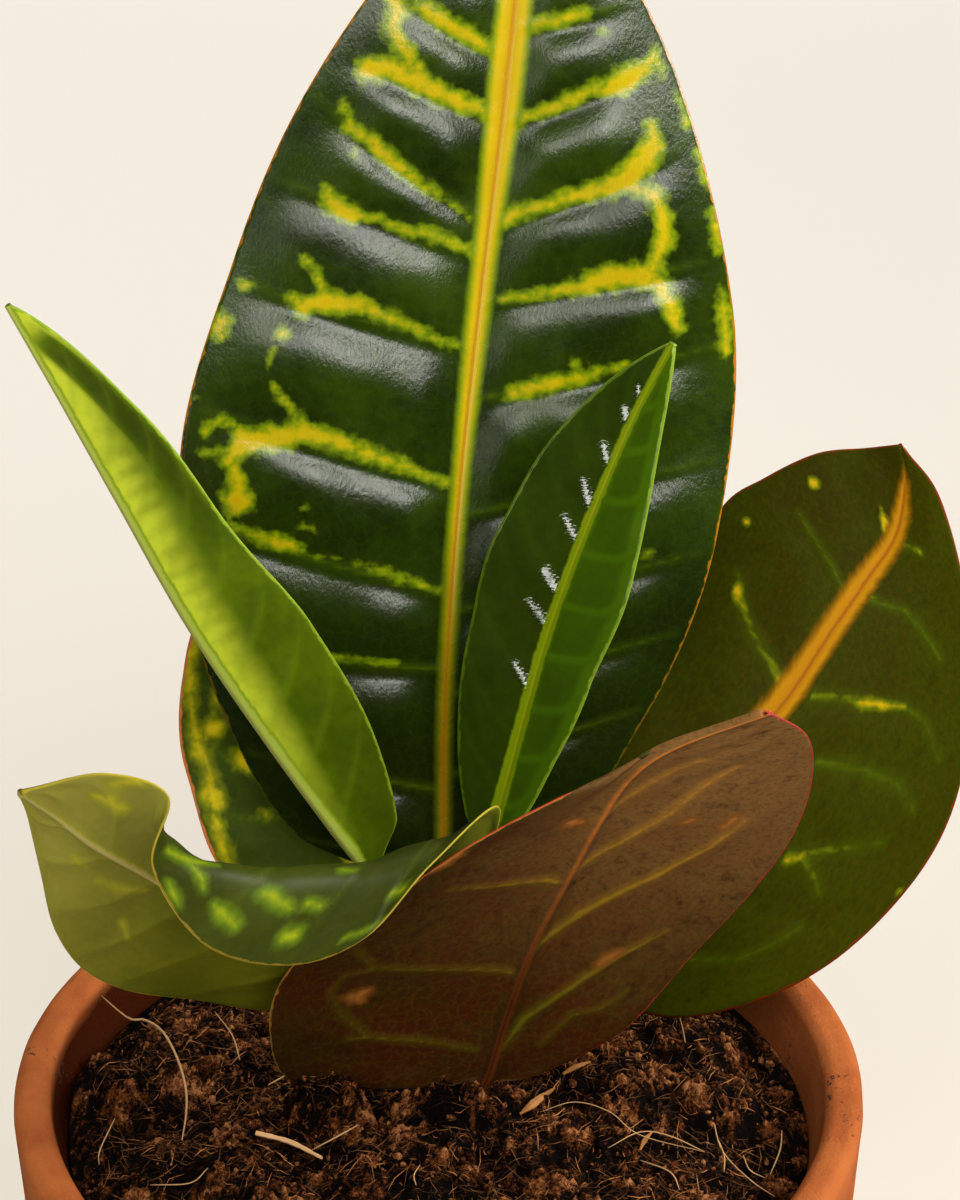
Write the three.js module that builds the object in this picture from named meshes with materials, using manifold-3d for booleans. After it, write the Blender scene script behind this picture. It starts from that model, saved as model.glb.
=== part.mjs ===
// A young croton in a terracotta pot: seven broad leaves on one short stem that stands in peat.
// Millimetres, +Z up. The origin is the middle of the pot's underside; the plant is seen from -Y.
import * as THREE from 'three';
import { mergeVertices } from 'three/addons/utils/BufferGeometryUtils.js';
import Module from 'manifold-3d';

const wasm = await Module();
wasm.setup();

// Pot: a tapered terracotta body under a thicker collar, open on top, drained by three holes
const POT_HEIGHT = 90;
const RIM_RADIUS = 50;
const FOOT_RADIUS = 33;
const COLLAR_HEIGHT = 25;
const COLLAR_TAPER = 1.5;
const COLLAR_STEP = 3;
const WALL = 4.5;
const FLOOR = 5;
const LIP_ROUND = 1.6;
const DRAIN_RADIUS = 3.5;
const DRAIN_CIRCLE = 12;
const DRAIN_HOLES = 3;
const POT_SIDES = 48;

// Peat: a low, lumpy mound that stops short of the rim
const SOIL_EDGE = 82;
const SOIL_MOUND = 6;
const SOIL_LUMP = 1.1;
const SOIL_RINGS = 9;
const FIT_GAP = 0.3;

// Stem: leans a little as it rises, from a hole in the peat up to the bud
const STEM_PATH = [
  [2.6, 0.4, 58],
  [2.4, 0.3, 86],
  [1.2, 0.4, 102],
  [0.3, 0.8, 117],
];
const STEM_RADIUS = 3.1;
const STEM_TOP_RADIUS = 2.2;
const STEM_SIDES = 14;
const STEM_HOLE_RADIUS = 3.6;
const DIMPLE_RADIUS = 6;
const DIMPLE_FLOOR = 87.5;
const BUD_LENGTH = 8;

// Leaves: blade thickness at the margin, and the round midrib that each blade hangs on
const BLADE_THICK = 0.7;
const LEAST_HALF_WIDTH = 0.35;
const LEAF_ROWS = 20;
const STALK_ROWS = 4;
const ACROSS = [-1, -0.8, -0.6, -0.42, -0.25, -0.07, 0, 0.07, 0.25, 0.42, 0.6, 0.8, 1];

const radians = THREE.MathUtils.degToRad;
const vec = (p) => new THREE.Vector3(...p);

// A smooth curve through hand-placed points.
const through = (points) => new THREE.CatmullRomCurve3(points.map(vec), false, 'catmullrom');

// A value that runs smoothly through a short list, evenly spaced over t from 0 to 1.
function along(list, t) {
  const span = t * (list.length - 1);
  const i = Math.min(Math.floor(span), list.length - 2);
  const f = THREE.MathUtils.smoothstep(span - i, 0, 1);
  return list[i] + (list[i + 1] - list[i]) * f;
}

// Joins rings of points, each ring as long as the last, into one closed body with a fan at each end.
function skinRings(rings) {
  const count = rings[0].length;
  const points = rings.flat();
  const faces = [];
  const face = (a, b, c) => faces.push(a, b, c);
  const cap = (start, flip) => {
    const middle = new THREE.Vector3();
    for (let i = 0; i < count; i++) middle.addScaledVector(points[start + i], 1 / count);
    const hub = points.push(middle) - 1;
    for (let i = 0; i < count; i++) {
      const a = start + i;
      const b = start + ((i + 1) % count);
      flip ? face(hub, b, a) : face(hub, a, b);
    }
  };
  for (let r = 0; r + 1 < rings.length; r++) {
    for (let i = 0; i < count; i++) {
      const j = (i + 1) % count;
      const a = r * count + i;
      const b = r * count + j;
      const c = a + count;
      const d = b + count;
      // The diagonal turns over half-way round, so that both faces of a blade split alike.
      if (i < count / 2) {
        face(a, b, d);
        face(a, d, c);
      } else {
        face(a, b, c);
        face(b, d, c);
      }
    }
  }
  cap(0, true);
  cap((rings.length - 1) * count, false);
  const geometry = new THREE.BufferGeometry().setFromPoints(points);
  geometry.setIndex(faces);
  return geometry;
}

// A geometry as a solid that can be cut, and a solid as a geometry again.
function toSolid(geometry) {
  const bare = geometry.clone();
  bare.deleteAttribute('normal');
  bare.deleteAttribute('uv');
  const merged = mergeVertices(bare, 1e-4);
  return new wasm.Manifold(
    new wasm.Mesh({
      numProp: 3,
      vertProperties: merged.attributes.position.array,
      triVerts: new Uint32Array(merged.index.array),
    }),
  );
}

function toGeometry(solid) {
  const mesh = solid.getMesh();
  const geometry = new THREE.BufferGeometry();
  geometry.setAttribute('position', new THREE.BufferAttribute(mesh.vertProperties, 3));
  geometry.setIndex(new THREE.BufferAttribute(mesh.triVerts, 1));
  return geometry;
}

const uprightCylinder = (radius, bottom, top, sides) => {
  const cylinder = new THREE.CylinderGeometry(radius, radius, top - bottom, sides);
  cylinder.rotateX(Math.PI / 2);
  cylinder.translate(0, 0, (bottom + top) / 2);
  return cylinder;
};

// Radius of the pot's inside wall at a height.
const innerFoot = FOOT_RADIUS - WALL;
const innerRim = RIM_RADIUS - WALL;
const innerRadius = (z) => innerFoot + ((innerRim - innerFoot) * (z - FLOOR)) / (POT_HEIGHT - FLOOR);

function potGeometry() {
  const collarBottom = POT_HEIGHT - COLLAR_HEIGHT;
  const collarFoot = RIM_RADIUS - COLLAR_TAPER;
  const neck = collarFoot - COLLAR_STEP;
  const lip = (middle, degrees) => [
    middle + LIP_ROUND * Math.cos(radians(degrees)),
    POT_HEIGHT - LIP_ROUND + LIP_ROUND * Math.sin(radians(degrees)),
  ];
  const outer = RIM_RADIUS - LIP_ROUND;
  const inner = innerRim + LIP_ROUND;
  const profile = [
    [0, 0],
    [FOOT_RADIUS - 1, 0],
    [FOOT_RADIUS, 1],
    [neck, collarBottom - 2],
    [neck + 0.4, collarBottom - 0.6],
    [collarFoot - 1, collarBottom],
    [collarFoot, collarBottom + 1],
    lip(outer, 0),
    lip(outer, 45),
    lip(outer, 90),
    lip(inner, 90),
    lip(inner, 135),
    [innerRadius(POT_HEIGHT - LIP_ROUND), POT_HEIGHT - LIP_ROUND],
    [innerRadius(FLOOR + 2), FLOOR + 2],
    [innerFoot - 2, FLOOR],
    [0, FLOOR],
  ];
  const body = new THREE.LatheGeometry(profile.map(([r, z]) => new THREE.Vector2(r, z)), POT_SIDES);
  body.rotateX(Math.PI / 2);
  let solid = toSolid(body);
  for (let i = 0; i < DRAIN_HOLES; i++) {
    const turn = (2 * Math.PI * i) / DRAIN_HOLES + Math.PI / 2;
    const hole = uprightCylinder(DRAIN_RADIUS, -1, FLOOR + 1, 16);
    hole.translate(DRAIN_CIRCLE * Math.cos(turn), DRAIN_CIRCLE * Math.sin(turn), 0);
    solid = solid.subtract(toSolid(hole));
  }
  return toGeometry(solid);
}

// Height of the peat at a place: a mound with a few lumps, level at the pot's wall.
function soilHeight(x, y) {
  const share = Math.hypot(x, y) / innerRadius(SOIL_EDGE);
  const lumps = Math.sin(x * 0.31 + 1.3) * Math.cos(y * 0.27) + 0.7 * Math.sin(x * 0.17 - y * 0.41 + 2);
  return SOIL_EDGE + SOIL_MOUND * (1 - share ** 3) + SOIL_LUMP * lumps * (1 - share ** 4);
}

function soilGeometry() {
  const base = FLOOR + FIT_GAP;
  const fit = Math.cos(Math.PI / POT_SIDES);
  const ring = (radiusAt, heightAt) =>
    Array.from({ length: POT_SIDES }, (_, i) => {
      const turn = (2 * Math.PI * i) / POT_SIDES;
      const x = radiusAt * Math.sin(turn);
      const y = -radiusAt * Math.cos(turn);
      return new THREE.Vector3(x, y, heightAt(x, y));
    });
  const topRadius = innerRadius(SOIL_EDGE) * fit - FIT_GAP;
  const rings = [
    ring(2, () => base),
    ring(innerFoot - 2 - FIT_GAP, () => base),
    ring(innerRadius(base + 2) * fit - FIT_GAP, () => base + 2),
  ];
  for (let i = SOIL_RINGS; i >= 1; i--) rings.push(ring((topRadius * i) / SOIL_RINGS, soilHeight));
  rings.push(ring(1, soilHeight));
  const [stemX, stemY, stemFoot] = STEM_PATH[0];
  const hole = uprightCylinder(STEM_HOLE_RADIUS, stemFoot - FIT_GAP, POT_HEIGHT + 20, 20);
  const dimple = uprightCylinder(DIMPLE_RADIUS, DIMPLE_FLOOR, POT_HEIGHT + 20, 20);
  hole.translate(stemX, stemY, 0);
  dimple.translate(stemX, stemY, 0);
  return toGeometry(toSolid(skinRings(rings)).subtract(toSolid(hole)).subtract(toSolid(dimple)));
}

const stemCurve = through(STEM_PATH);

function stemGeometry() {
  const rows = 16;
  const rings = [];
  const axisX = new THREE.Vector3(1, 0, 0);
  const ringAt = (centre, radius) =>
    Array.from({ length: STEM_SIDES }, (_, i) => {
      const turn = (2 * Math.PI * i) / STEM_SIDES;
      return new THREE.Vector3(radius * Math.cos(turn), radius * Math.sin(turn), 0).add(centre);
    });
  for (let r = 0; r <= rows; r++) {
    const t = r / rows;
    const scars = 1 + 0.05 * Math.sin(t * 40);
    rings.push(ringAt(stemCurve.getPoint(t), THREE.MathUtils.lerp(STEM_RADIUS, STEM_TOP_RADIUS, t) * scars));
  }
  const top = stemCurve.getPoint(1);
  for (const [share, rise] of [[0.8, 0.15], [0.75, 0.4], [0.45, 0.75], [0.12, 1]]) {
    const centre = top.clone().addScaledVector(new THREE.Vector3(0, 0, 1), BUD_LENGTH * rise);
    rings.push(ringAt(centre.addScaledVector(axisX, 0.4 * rise), STEM_TOP_RADIUS * share));
  }
  return skinRings(rings);
}

// Plain leaves. `rib` runs from the stem to the tip through hand-placed points, and `stalk` is the
// bare share of it. `face` says where the upper side looks. `half` is the half width left and right
// of the midrib, seen on the upper side with the tip up; `widest` and `full` shape the outline, and
// `trimLeft` and `trimRight` vary it, evenly from base to tip. `fold` raises both halves from the
// midrib, and `curlLeft` and `curlRight` bend them on towards the upper side, in degrees. `wave` is
// the height and the number of the margin's waves.
const PLAIN_LEAVES = {
  leaf_tall: {
    rib: [[0.6, 4.8, 106], [0.4, 5.4, 112], [0.6, 6.5, 121], [0.9, 9.5, 138], [2.4, 15, 160], [4.8, 22, 182],
      [7.6, 29.5, 204], [10.6, 40, 231]],
    stalk: 0.03,
    face: [0, -1, 0.3],
    half: [31.5, 29.5],
    trimLeft: [1.25, 1.05, 1.01, 0.95, 0.98, 0.97],
    trimRight: [1.1, 1, 1.01, 1.04, 1.03, 0.95],
    widest: 0.45,
    full: 0.75,
    fold: 8,
    curlLeft: -14,
    curlRight: -14,
    wave: [0.8, 3],
    midrib: 1.5,
    colour: '#1f4a12',
  },
  leaf_behind: {
    rib: [[-1.8, 3.4, 101], [-4.5, 6, 108], [-12.6, 12, 117], [-18.4, 17, 126], [-21.9, 22, 135.7], [-24, 26, 143.5]],
    stalk: 0.1,
    face: [0.3, -0.8, 0.6],
    half: [12, 14],
    trimLeft: [1.6, 1.4, 1.15, 1, 1, 1],
    widest: 0.5,
    full: 0.6,
    fold: 4,
    curlLeft: -10,
    curlRight: -10,
    wave: [0.5, 3],
    midrib: 1.1,
    colour: '#2f4a18',
  },
  young_left: {
    rib: [[-3.2, -0.6, 113], [-4.5, -2, 117.5], [-10, -1.5, 124.5], [-20, 0, 140], [-27.5, 1, 153], [-34.5, 2, 167.5],
      [-41, 3, 181], [-46, 4, 191]],
    stalk: 0.08,
    face: [0.8, 0.3, 0.5],
    half: [12, 11],
    trimLeft: [1.1, 1.05, 1, 0.88, 1, 1.1],
    trimRight: [1.1, 1.05, 0.95, 0.85, 0.9, 1],
    widest: 0.42,
    full: 0.75,
    fold: 65,
    curlLeft: 10,
    curlRight: 10,
    wave: [0, 3],
    midrib: 1,
    colour: '#7fae2b',
  },
  young_right: {
    rib: [[3.8, -0.4, 114.5], [4.8, -1, 121], [7.1, 0, 128.8], [10.3, 1, 142.3], [12.3, 2, 150], [15.7, 3, 160.8],
      [21.2, 5, 175.3], [25.8, 6, 185.2]],
    stalk: 0.1,
    face: [-0.34, -0.9, 0.3],
    half: [9.8, 9.8],
    trimLeft: [0.8, 0.85, 0.88, 1.02, 1.15, 1.2],
    trimRight: [0.7, 0.72, 0.82, 0.97, 0.95, 1],
    widest: 0.45,
    full: 0.75,
    fold: 25,
    curlLeft: 0,
    curlRight: 0,
    wave: [0, 3],
    midrib: 1,
    colour: '#4f8f1e',
  },
};

// Leaves that twist or hang over themselves are nets: rows of five points from base to tip, each
// row from the left margin by the middle of the left half, the midrib and the middle of the right
// half to the right margin, seen on the upper side with the tip up. `stem` is the stalk's path.
const NET_LEAVES = {
  leaf_right: {
    stem: [[5.3, 1.4, 99.5], [8.5, 3.5, 106]],
    net: [
      [[12, 6.5, 113], [12, 6, 112.5], [12.5, 6, 112.5], [12.5, 6, 112], [13, 5.5, 112]],
      [[13.5, 10, 118.5], [14.5, 8.5, 116.5], [16, 7, 114], [17.5, 6.5, 107.5], [19, 6.5, 99]],
      [[17, 16, 124.5], [20, 12.5, 121], [23.5, 9.5, 118], [25.5, 7.5, 107.5], [27.5, 7.5, 93.5]],
      [[22.5, 22, 131.5], [27, 17, 128], [31.5, 12.5, 124], [35.5, 8.5, 112.5], [39, 5, 98.5]],
      [[28, 28, 140], [33.5, 21.5, 136.5], [39.5, 16, 131.5], [44.5, 10.5, 119.5], [49, 5.5, 106]],
      [[33, 32, 149], [39.5, 26, 144.5], [45.5, 20, 139.5], [52, 13.5, 129], [57.5, 7.5, 117.5]],
      [[38, 33, 152.5], [43.5, 28, 148.5], [49.5, 23, 144.5], [55.5, 17, 137.5], [61, 11, 129.5]],
      [[44, 33.5, 155.5], [48.5, 30, 152], [53, 26, 149], [57.5, 21.5, 146.5], [61, 17, 143]],
      [[49.5, 33, 156.5], [52, 31, 155.5], [54, 29, 154.5], [56, 27.5, 154], [58, 26, 153.5]],
      [[53.3, 31.1, 158.1], [53.4, 31, 158.1], [53.5, 31, 158], [53.6, 31, 158], [53.7, 30.9, 157.9]],
    ],
    midrib: 1.4,
    colour: '#33401a',
  },
  leaf_front: {
    stem: [[5, -3.2, 89.8], [5.1, -3.4, 91]],
    net: [
      [[6.5, -3.5, 91.5], [6, -3.5, 92], [5, -3.5, 92.5], [4, -3.5, 92], [3, -3.5, 92]],
      [[12.5, -3, 93.5], [9, -3.4, 94], [6, -4.2, 95.5], [-5, -2.4, 91.5], [-16, 1, 88.5]],
      [[21.5, -5, 101], [15, -5.5, 103], [8, -6, 105], [-6, -5.5, 103], [-19.5, -4.5, 100.5]],
      [[29, -9, 114.5], [20.5, -10, 116], [11, -11, 118.5], [-3.5, -11.5, 116.5], [-16.5, -11.5, 114.5]],
      [[35.5, -14, 126.5], [25.5, -15, 129], [15, -16, 131.5], [4.5, -17.5, 129.5], [-7, -18.5, 127]],
      [[39, -19, 137.5], [29, -19.5, 139], [18, -20, 141], [10.5, -22.5, 140.5], [3, -24.5, 139.5]],
      [[40.5, -24, 148], [31, -24, 148.5], [21, -24, 149], [17.5, -26, 148.5], [13.5, -27, 148]],
      [[39.5, -29, 157], [33.5, -28, 155.5], [25.5, -27.5, 155], [24, -27, 154.5], [23, -24, 151]],
      [[35.2, -31, 161.5], [35.1, -31, 161.5], [35, -31, 161.5], [34.9, -31, 161.5], [34.8, -31, 161.4]],
    ],
    midrib: 1.3,
    colour: '#5a3a20',
  },
  leaf_curled: {
    stem: [[-1.8, -2.8, 104], [-1, -4.5, 107.5]],
    net: [
      [[2.5, -6, 114.5], [1.5, -5.5, 113.5], [1, -5, 111.5], [0, -4, 109.5], [-0.5, -3, 107.5]],
      [[7, -15, 138.5], [3.5, -12, 129], [-1.5, -7, 116.5], [-3, -3, 109], [-5, 0, 103]],
      [[-0.5, -29, 140.5], [0, -21, 138], [-6, -9, 120.5], [-9, -3, 108.5], [-11.5, 1, 100]],
      [[-7.5, -34, 134.5], [-6.5, -27, 139.5], [-14, -12, 122], [-17, -5, 108.5], [-19.5, 0, 100]],
      [[-15.5, -39, 134.5], [-15, -33, 142.5], [-21.5, -21, 129.5], [-25, -13, 116.5], [-28, -6, 106]],
      [[-24, -43, 140], [-23, -38, 146.5], [-27.5, -29, 137.5], [-31.5, -22, 125], [-34.5, -14, 113]],
      [[-29, -46, 152], [-27.5, -42, 152.5], [-31.5, -35, 144.5], [-35.5, -28, 132.5], [-39, -21, 121]],
      [[-27, -47, 161.5], [-30.5, -44, 157.5], [-35.5, -40, 151], [-38.5, -36, 143], [-41, -31, 133.5]],
      [[-33.5, -48, 165], [-36, -46, 161], [-39, -43.5, 157], [-40.5, -41, 152], [-41.5, -38, 146]],
      [[-42, -47.2, 162.3], [-42, -47, 162.2], [-42.1, -47, 162.1], [-42.1, -47, 162], [-42, -46.8, 161.9]],
    ],
    midrib: 1.2,
    colour: '#5b6b2a',
  },
};

// A plain leaf's midrib with the frame that its blade is drawn in, and the blade itself: the point
// at t from base to tip and s from the left margin (-1) to the right one (1).
function plainLeaf(leaf) {
  const curve = through(leaf.rib);
  curve.arcLengthDivisions = 400;
  const frame = (u) => {
    const run = curve.getTangentAt(u);
    const normal = vec(leaf.face).projectOnPlane(run).normalize();
    return { centre: curve.getPointAt(u), normal, across: run.clone().cross(normal) };
  };
  const peak = Math.log(0.5) / Math.log(leaf.widest);
  const halfWidth = (side, t) => {
    const outline = Math.max(Math.sin(Math.PI * t ** peak), 0) ** leaf.full;
    const trim = (side < 0 ? leaf.trimLeft : leaf.trimRight) ?? [1, 1];
    return Math.max(leaf.half[side < 0 ? 0 : 1] * outline * along(trim, t), LEAST_HALF_WIDTH);
  };
  const blade = (t, s) => {
    const side = s < 0 ? -1 : 1;
    const width = halfWidth(side, t);
    const fold = radians(leaf.fold);
    const curl = radians(side < 0 ? leaf.curlLeft : leaf.curlRight) || 1e-6;
    const turn = fold + curl * Math.abs(s);
    const [height, count] = leaf.wave;
    const ripple = height * s * s * Math.sin(2 * Math.PI * count * t + side) * Math.sin(Math.PI * t);
    const out = (side * width * (Math.sin(turn) - Math.sin(fold))) / curl;
    const lift = (width * (Math.cos(fold) - Math.cos(turn))) / curl + ripple;
    const { centre, normal, across } = frame(THREE.MathUtils.lerp(leaf.stalk, 1, t));
    return centre.addScaledVector(across, out).addScaledVector(normal, lift);
  };
  return { stalk: leaf.stalk, midrib: leaf.midrib, frame, blade };
}

// A net leaf's midrib, frame and blade, in the same terms.
function netLeaf({ stem, net, midrib }) {
  const rows = net.length - 1;
  const columns = net[0].map((_, i) => through(net.map((row) => row[i])));
  const curve = through([...stem, ...net.map((row) => row[2])]);
  const stalk = stem.length / (stem.length + rows);
  const blade = (t, s) => {
    const section = new THREE.CatmullRomCurve3(columns.map((c) => c.getPoint(t)), false, 'catmullrom');
    return section.getPoint((s + 1) / 2);
  };
  const frame = (u) => {
    const t = Math.max((u - stalk) / (1 - stalk), 0);
    const run = curve.getTangent(u);
    const sideways = blade(t, 0.2).sub(blade(t, -0.2));
    const normal = sideways.cross(run).normalize();
    return { centre: curve.getPoint(u), normal, across: run.clone().cross(normal) };
  };
  return { stalk, midrib, frame, blade };
}

// One cross-section of a leaf, as a ring of points: the upper side from left to right, then back.
function leafRing(shape, u) {
  const t = Math.max((u - shape.stalk) / (1 - shape.stalk), 0);
  const { centre, normal, across } = shape.frame(u);
  const bladeShare = THREE.MathUtils.smoothstep(t, 0, 0.08);
  const step = 0.01;
  const upper = [];
  const lower = [];
  ACROSS.forEach((s, i) => {
    const point = shape.blade(t, s);
    const sideways = shape.blade(t, Math.min(s + step, 1)).sub(shape.blade(t, Math.max(s - step, -1)));
    const onwards = shape.blade(Math.min(t + step, 1), s).sub(shape.blade(Math.max(t - step, 0), s));
    const out = sideways.cross(onwards).normalize();
    const keel = s === 0 ? shape.midrib * (1 - 0.75 * t) * 0.8 : 0;
    const angle = Math.PI * (1 - (i + 0.5) / ACROSS.length);
    const around = across.clone().multiplyScalar(Math.cos(angle));
    const rise = normal.clone().multiplyScalar(Math.sin(angle));
    const top = centre.clone().addScaledVector(around.clone().add(rise), shape.midrib);
    const bottom = centre.clone().addScaledVector(around.sub(rise), shape.midrib);
    upper.push(top.lerp(point.clone().addScaledVector(out, BLADE_THICK / 2), bladeShare));
    lower.unshift(bottom.lerp(point.clone().addScaledVector(out, -BLADE_THICK / 2 - keel), bladeShare));
  });
  return [...upper, ...lower];
}

function leafGeometry(shape) {
  const rings = [];
  for (let r = 0; r < STALK_ROWS; r++) rings.push(leafRing(shape, (shape.stalk * r) / STALK_ROWS));
  for (let r = 0; r <= LEAF_ROWS; r++) {
    // Rows stand closer at both ends, where the outline turns fastest.
    const t = 0.5 - 0.5 * Math.cos((Math.PI * r) / LEAF_ROWS);
    rings.push(leafRing(shape, THREE.MathUtils.lerp(shape.stalk, 1, t)));
  }
  return skinRings(rings);
}

const finish = (colour, roughness) => new THREE.MeshStandardMaterial({ color: colour, roughness, metalness: 0 });

function piece(name, geometry, material) {
  geometry.computeVertexNormals();
  const mesh = new THREE.Mesh(geometry, material);
  mesh.name = name;
  return mesh;
}

const croton = new THREE.Group();
croton.name = 'potted_croton';
croton.add(piece('pot', potGeometry(), finish('#b5633f', 0.85)));
croton.add(piece('soil', soilGeometry(), finish('#3a2415', 1)));
croton.add(piece('stem', stemGeometry(), finish('#5f6f35', 0.6)));
for (const [name, leaf] of Object.entries(PLAIN_LEAVES)) {
  croton.add(piece(name, leafGeometry(plainLeaf(leaf)), finish(leaf.colour, 0.3)));
}
for (const [name, leaf] of Object.entries(NET_LEAVES)) {
  croton.add(piece(name, leafGeometry(netLeaf(leaf)), finish(leaf.colour, 0.3)));
}

export default croton;
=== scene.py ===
# %% [markdown]
# # A young croton in a terracotta pot
#
# A croton is a house plant with thick, glossy leaves that are veined and spotted in yellow, orange and
# red. This one has seven leaves round a short stem, in a small clay pot filled with dark, fibrous peat.
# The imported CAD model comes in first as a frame: every piece made here is in metres, stands where its
# CAD solid stands, and takes its place. The work then goes from the camera to the leaves, the stem,
# the pot and the peat.

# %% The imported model
import math

import bpy
import numpy as np
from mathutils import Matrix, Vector, noise


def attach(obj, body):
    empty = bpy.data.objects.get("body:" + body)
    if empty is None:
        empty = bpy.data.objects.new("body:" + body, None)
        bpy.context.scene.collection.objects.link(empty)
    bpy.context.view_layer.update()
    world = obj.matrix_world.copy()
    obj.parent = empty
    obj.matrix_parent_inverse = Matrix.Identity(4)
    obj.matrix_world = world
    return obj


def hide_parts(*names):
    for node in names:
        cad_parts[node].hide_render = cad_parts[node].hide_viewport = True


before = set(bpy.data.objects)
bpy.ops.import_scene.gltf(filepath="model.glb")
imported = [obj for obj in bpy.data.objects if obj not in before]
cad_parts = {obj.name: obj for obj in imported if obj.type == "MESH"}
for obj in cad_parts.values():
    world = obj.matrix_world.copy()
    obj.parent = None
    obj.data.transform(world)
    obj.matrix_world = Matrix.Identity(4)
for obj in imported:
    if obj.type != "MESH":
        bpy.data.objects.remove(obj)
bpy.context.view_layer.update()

MM = 0.001
rng = np.random.default_rng(5)

# %% [markdown]
# ## The camera
#
# The photo was taken with a long lens from half a metre or so, looking down on the pot. The ellipse of
# the pot's rim gives the tilt, and the way the rim and the tall leaf shrink with distance gives the
# focal length, here in pixels of the photo. The same numbers serve twice: they place the camera, and
# they turn a place read off the photo into a place on a leaf, which is how the markings get on.

# %% Camera
PHOTO_WIDE, PHOTO_HIGH = 960, 1200
LENS_PX = 5110
TILT = math.radians(31.66)
EYE = np.array([4.84, -481.16, 452.84])
SENSOR = 36

camera = bpy.data.objects.new("camera", bpy.data.cameras.new("camera"))
camera.data.sensor_width = SENSOR
camera.data.lens = LENS_PX / PHOTO_HIGH * SENSOR
camera.data.clip_start = 0.01
camera.data.clip_end = 20
camera.location = Vector(EYE * MM)
camera.rotation_euler = (math.pi / 2 - TILT, 0, 0)
bpy.context.collection.objects.link(camera)
bpy.context.scene.camera = camera

BACKWARD = np.array([0, -math.cos(TILT), math.sin(TILT)])
UPWARD = np.array([0, math.sin(TILT), math.cos(TILT)])


def in_photo(points):
    """Where points in millimetres fall in the photo, in pixels, and how far away they are."""
    offset = np.asarray(points, float) - EYE
    depth = -(offset @ BACKWARD)
    across = PHOTO_WIDE / 2 + LENS_PX * offset[..., 0] / depth
    down = PHOTO_HIGH / 2 - LENS_PX * (offset @ UPWARD) / depth
    return np.stack([across, down], -1), depth


def from_photo(pixel, height):
    """The point in millimetres that a pixel of the photo shows, if it is at this height."""
    across = (pixel[0] - PHOTO_WIDE / 2) / LENS_PX
    up = (PHOTO_HIGH / 2 - pixel[1]) / LENS_PX
    ray = np.array([across, 0, 0]) + UPWARD * up - BACKWARD
    return EYE + ray * (height - EYE[2]) / ray[2]


rim_left, rim_far = in_photo([[-50, 0, 90], [0, 50, 90]])[0]
print("lens:", round(camera.data.lens, 1), "mm")
print("the rim's left shows at", rim_left.round(), "and its far side at", rim_far.round())

# %% [markdown]
# ## Writing a material as sums
#
# A material is a graph of nodes, and clicking one together hides what it does. One small class wraps a
# socket, so that `1 - mask` or `a * 2 + b` adds the Math nodes by itself. Every other node comes from
# one method, which sets the node's choices first and then the values or links of its sockets.

# %% The wire class
class Wire:
    """A value, colour or vector inside a material."""

    def __init__(self, tree, socket=None):
        self.tree = tree
        self.socket = socket

    def node(self, kind, settings=None, sockets=None, out=0):
        """Adds a node and gives the wire from one of its outputs."""
        made = self.tree.nodes.new("ShaderNode" + kind)
        for key, value in (settings or {}).items():
            setattr(made, key, value)
        for key, value in (sockets or {}).items():
            if isinstance(value, Wire):
                self.tree.links.new(value.socket, made.inputs[key])
            else:
                made.inputs[key].default_value = value
        return Wire(self.tree, made.outputs[out] if made.outputs else None)

    def math(self, operation, *values):
        return self.node("Math", {"operation": operation}, dict(enumerate(values)))

    def __add__(self, other):
        return self.math("ADD", self, other)

    def __sub__(self, other):
        return self.math("SUBTRACT", self, other)

    def __rsub__(self, other):
        return self.math("SUBTRACT", other, self)

    def __mul__(self, other):
        return self.math("MULTIPLY", self, other)

    def __abs__(self):
        return self.math("ABSOLUTE", self)

    __radd__ = __add__
    __rmul__ = __mul__

    def step(self, low, high):
        """0 below low, 1 above high, and a smooth rise between them."""
        sockets = {"Value": self, "From Min": low, "From Max": high}
        return self.node("MapRange", {"interpolation_type": "SMOOTHSTEP"}, sockets)

    def mix(self, one, other):
        """The colour one where this value is 0, and the other where it is 1."""
        one, other = [tint if isinstance(tint, Wire) else (*tint, 1) for tint in (one, other)]
        return self.node("Mix", {"data_type": "RGBA"}, {0: self, 6: one, 7: other}, out=2)

    def stretch(self, x, y, z):
        """This vector with its three parts scaled."""
        return self.node("VectorMath", {"operation": "MULTIPLY"}, {0: self, 1: (x, y, z)})

    def cloud(self, scale, detail=2.0, rough=0.5, warp=0.0):
        """Soft noise about 0, over this vector."""
        sockets = {"Vector": self, "Scale": scale, "Detail": detail, "Roughness": rough, "Distortion": warp}
        return self.node("TexNoise", {}, sockets) - 0.5

    def sway(self, scale, reach):
        """A noisy sideways shift over this vector, as a vector."""
        noisy = self.node("TexNoise", {}, {"Vector": self, "Scale": scale, "Detail": 2.0}, out="Color")
        centred = self.node("VectorMath", {"operation": "SUBTRACT"}, {0: noisy, 1: (0.5, 0.5, 0.5)})
        return centred.stretch(reach, reach, reach)

    def cells(self, scale):
        """The distance to the edges of Voronoi cells over this vector."""
        sockets = {"Vector": self, "Scale": scale, "Randomness": 0.9}
        return self.node("TexVoronoi", {"feature": "DISTANCE_TO_EDGE"}, sockets)


def blank(name):
    """A new material with no nodes, and a wire to start them from."""
    material = bpy.data.materials.new(name)
    material.use_nodes = True
    material.node_tree.nodes.clear()
    return material, Wire(material.node_tree)


def surface(start, colour, roughness, height=None, depth=0.0001, **fixed):
    """Ends a material: what varies goes in by link, and what is the same all over is set on the shader."""
    sockets = {"Base Color": colour, "Roughness": roughness}
    sockets.update({key.replace("_", " "): value for key, value in fixed.items()})
    if height is not None:
        sockets["Normal"] = start.node("Bump", {}, {"Strength": 1.0, "Distance": depth, "Height": height})
    start.node("OutputMaterial", {}, {"Surface": start.node("BsdfPrincipled", {}, sockets)})


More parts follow.
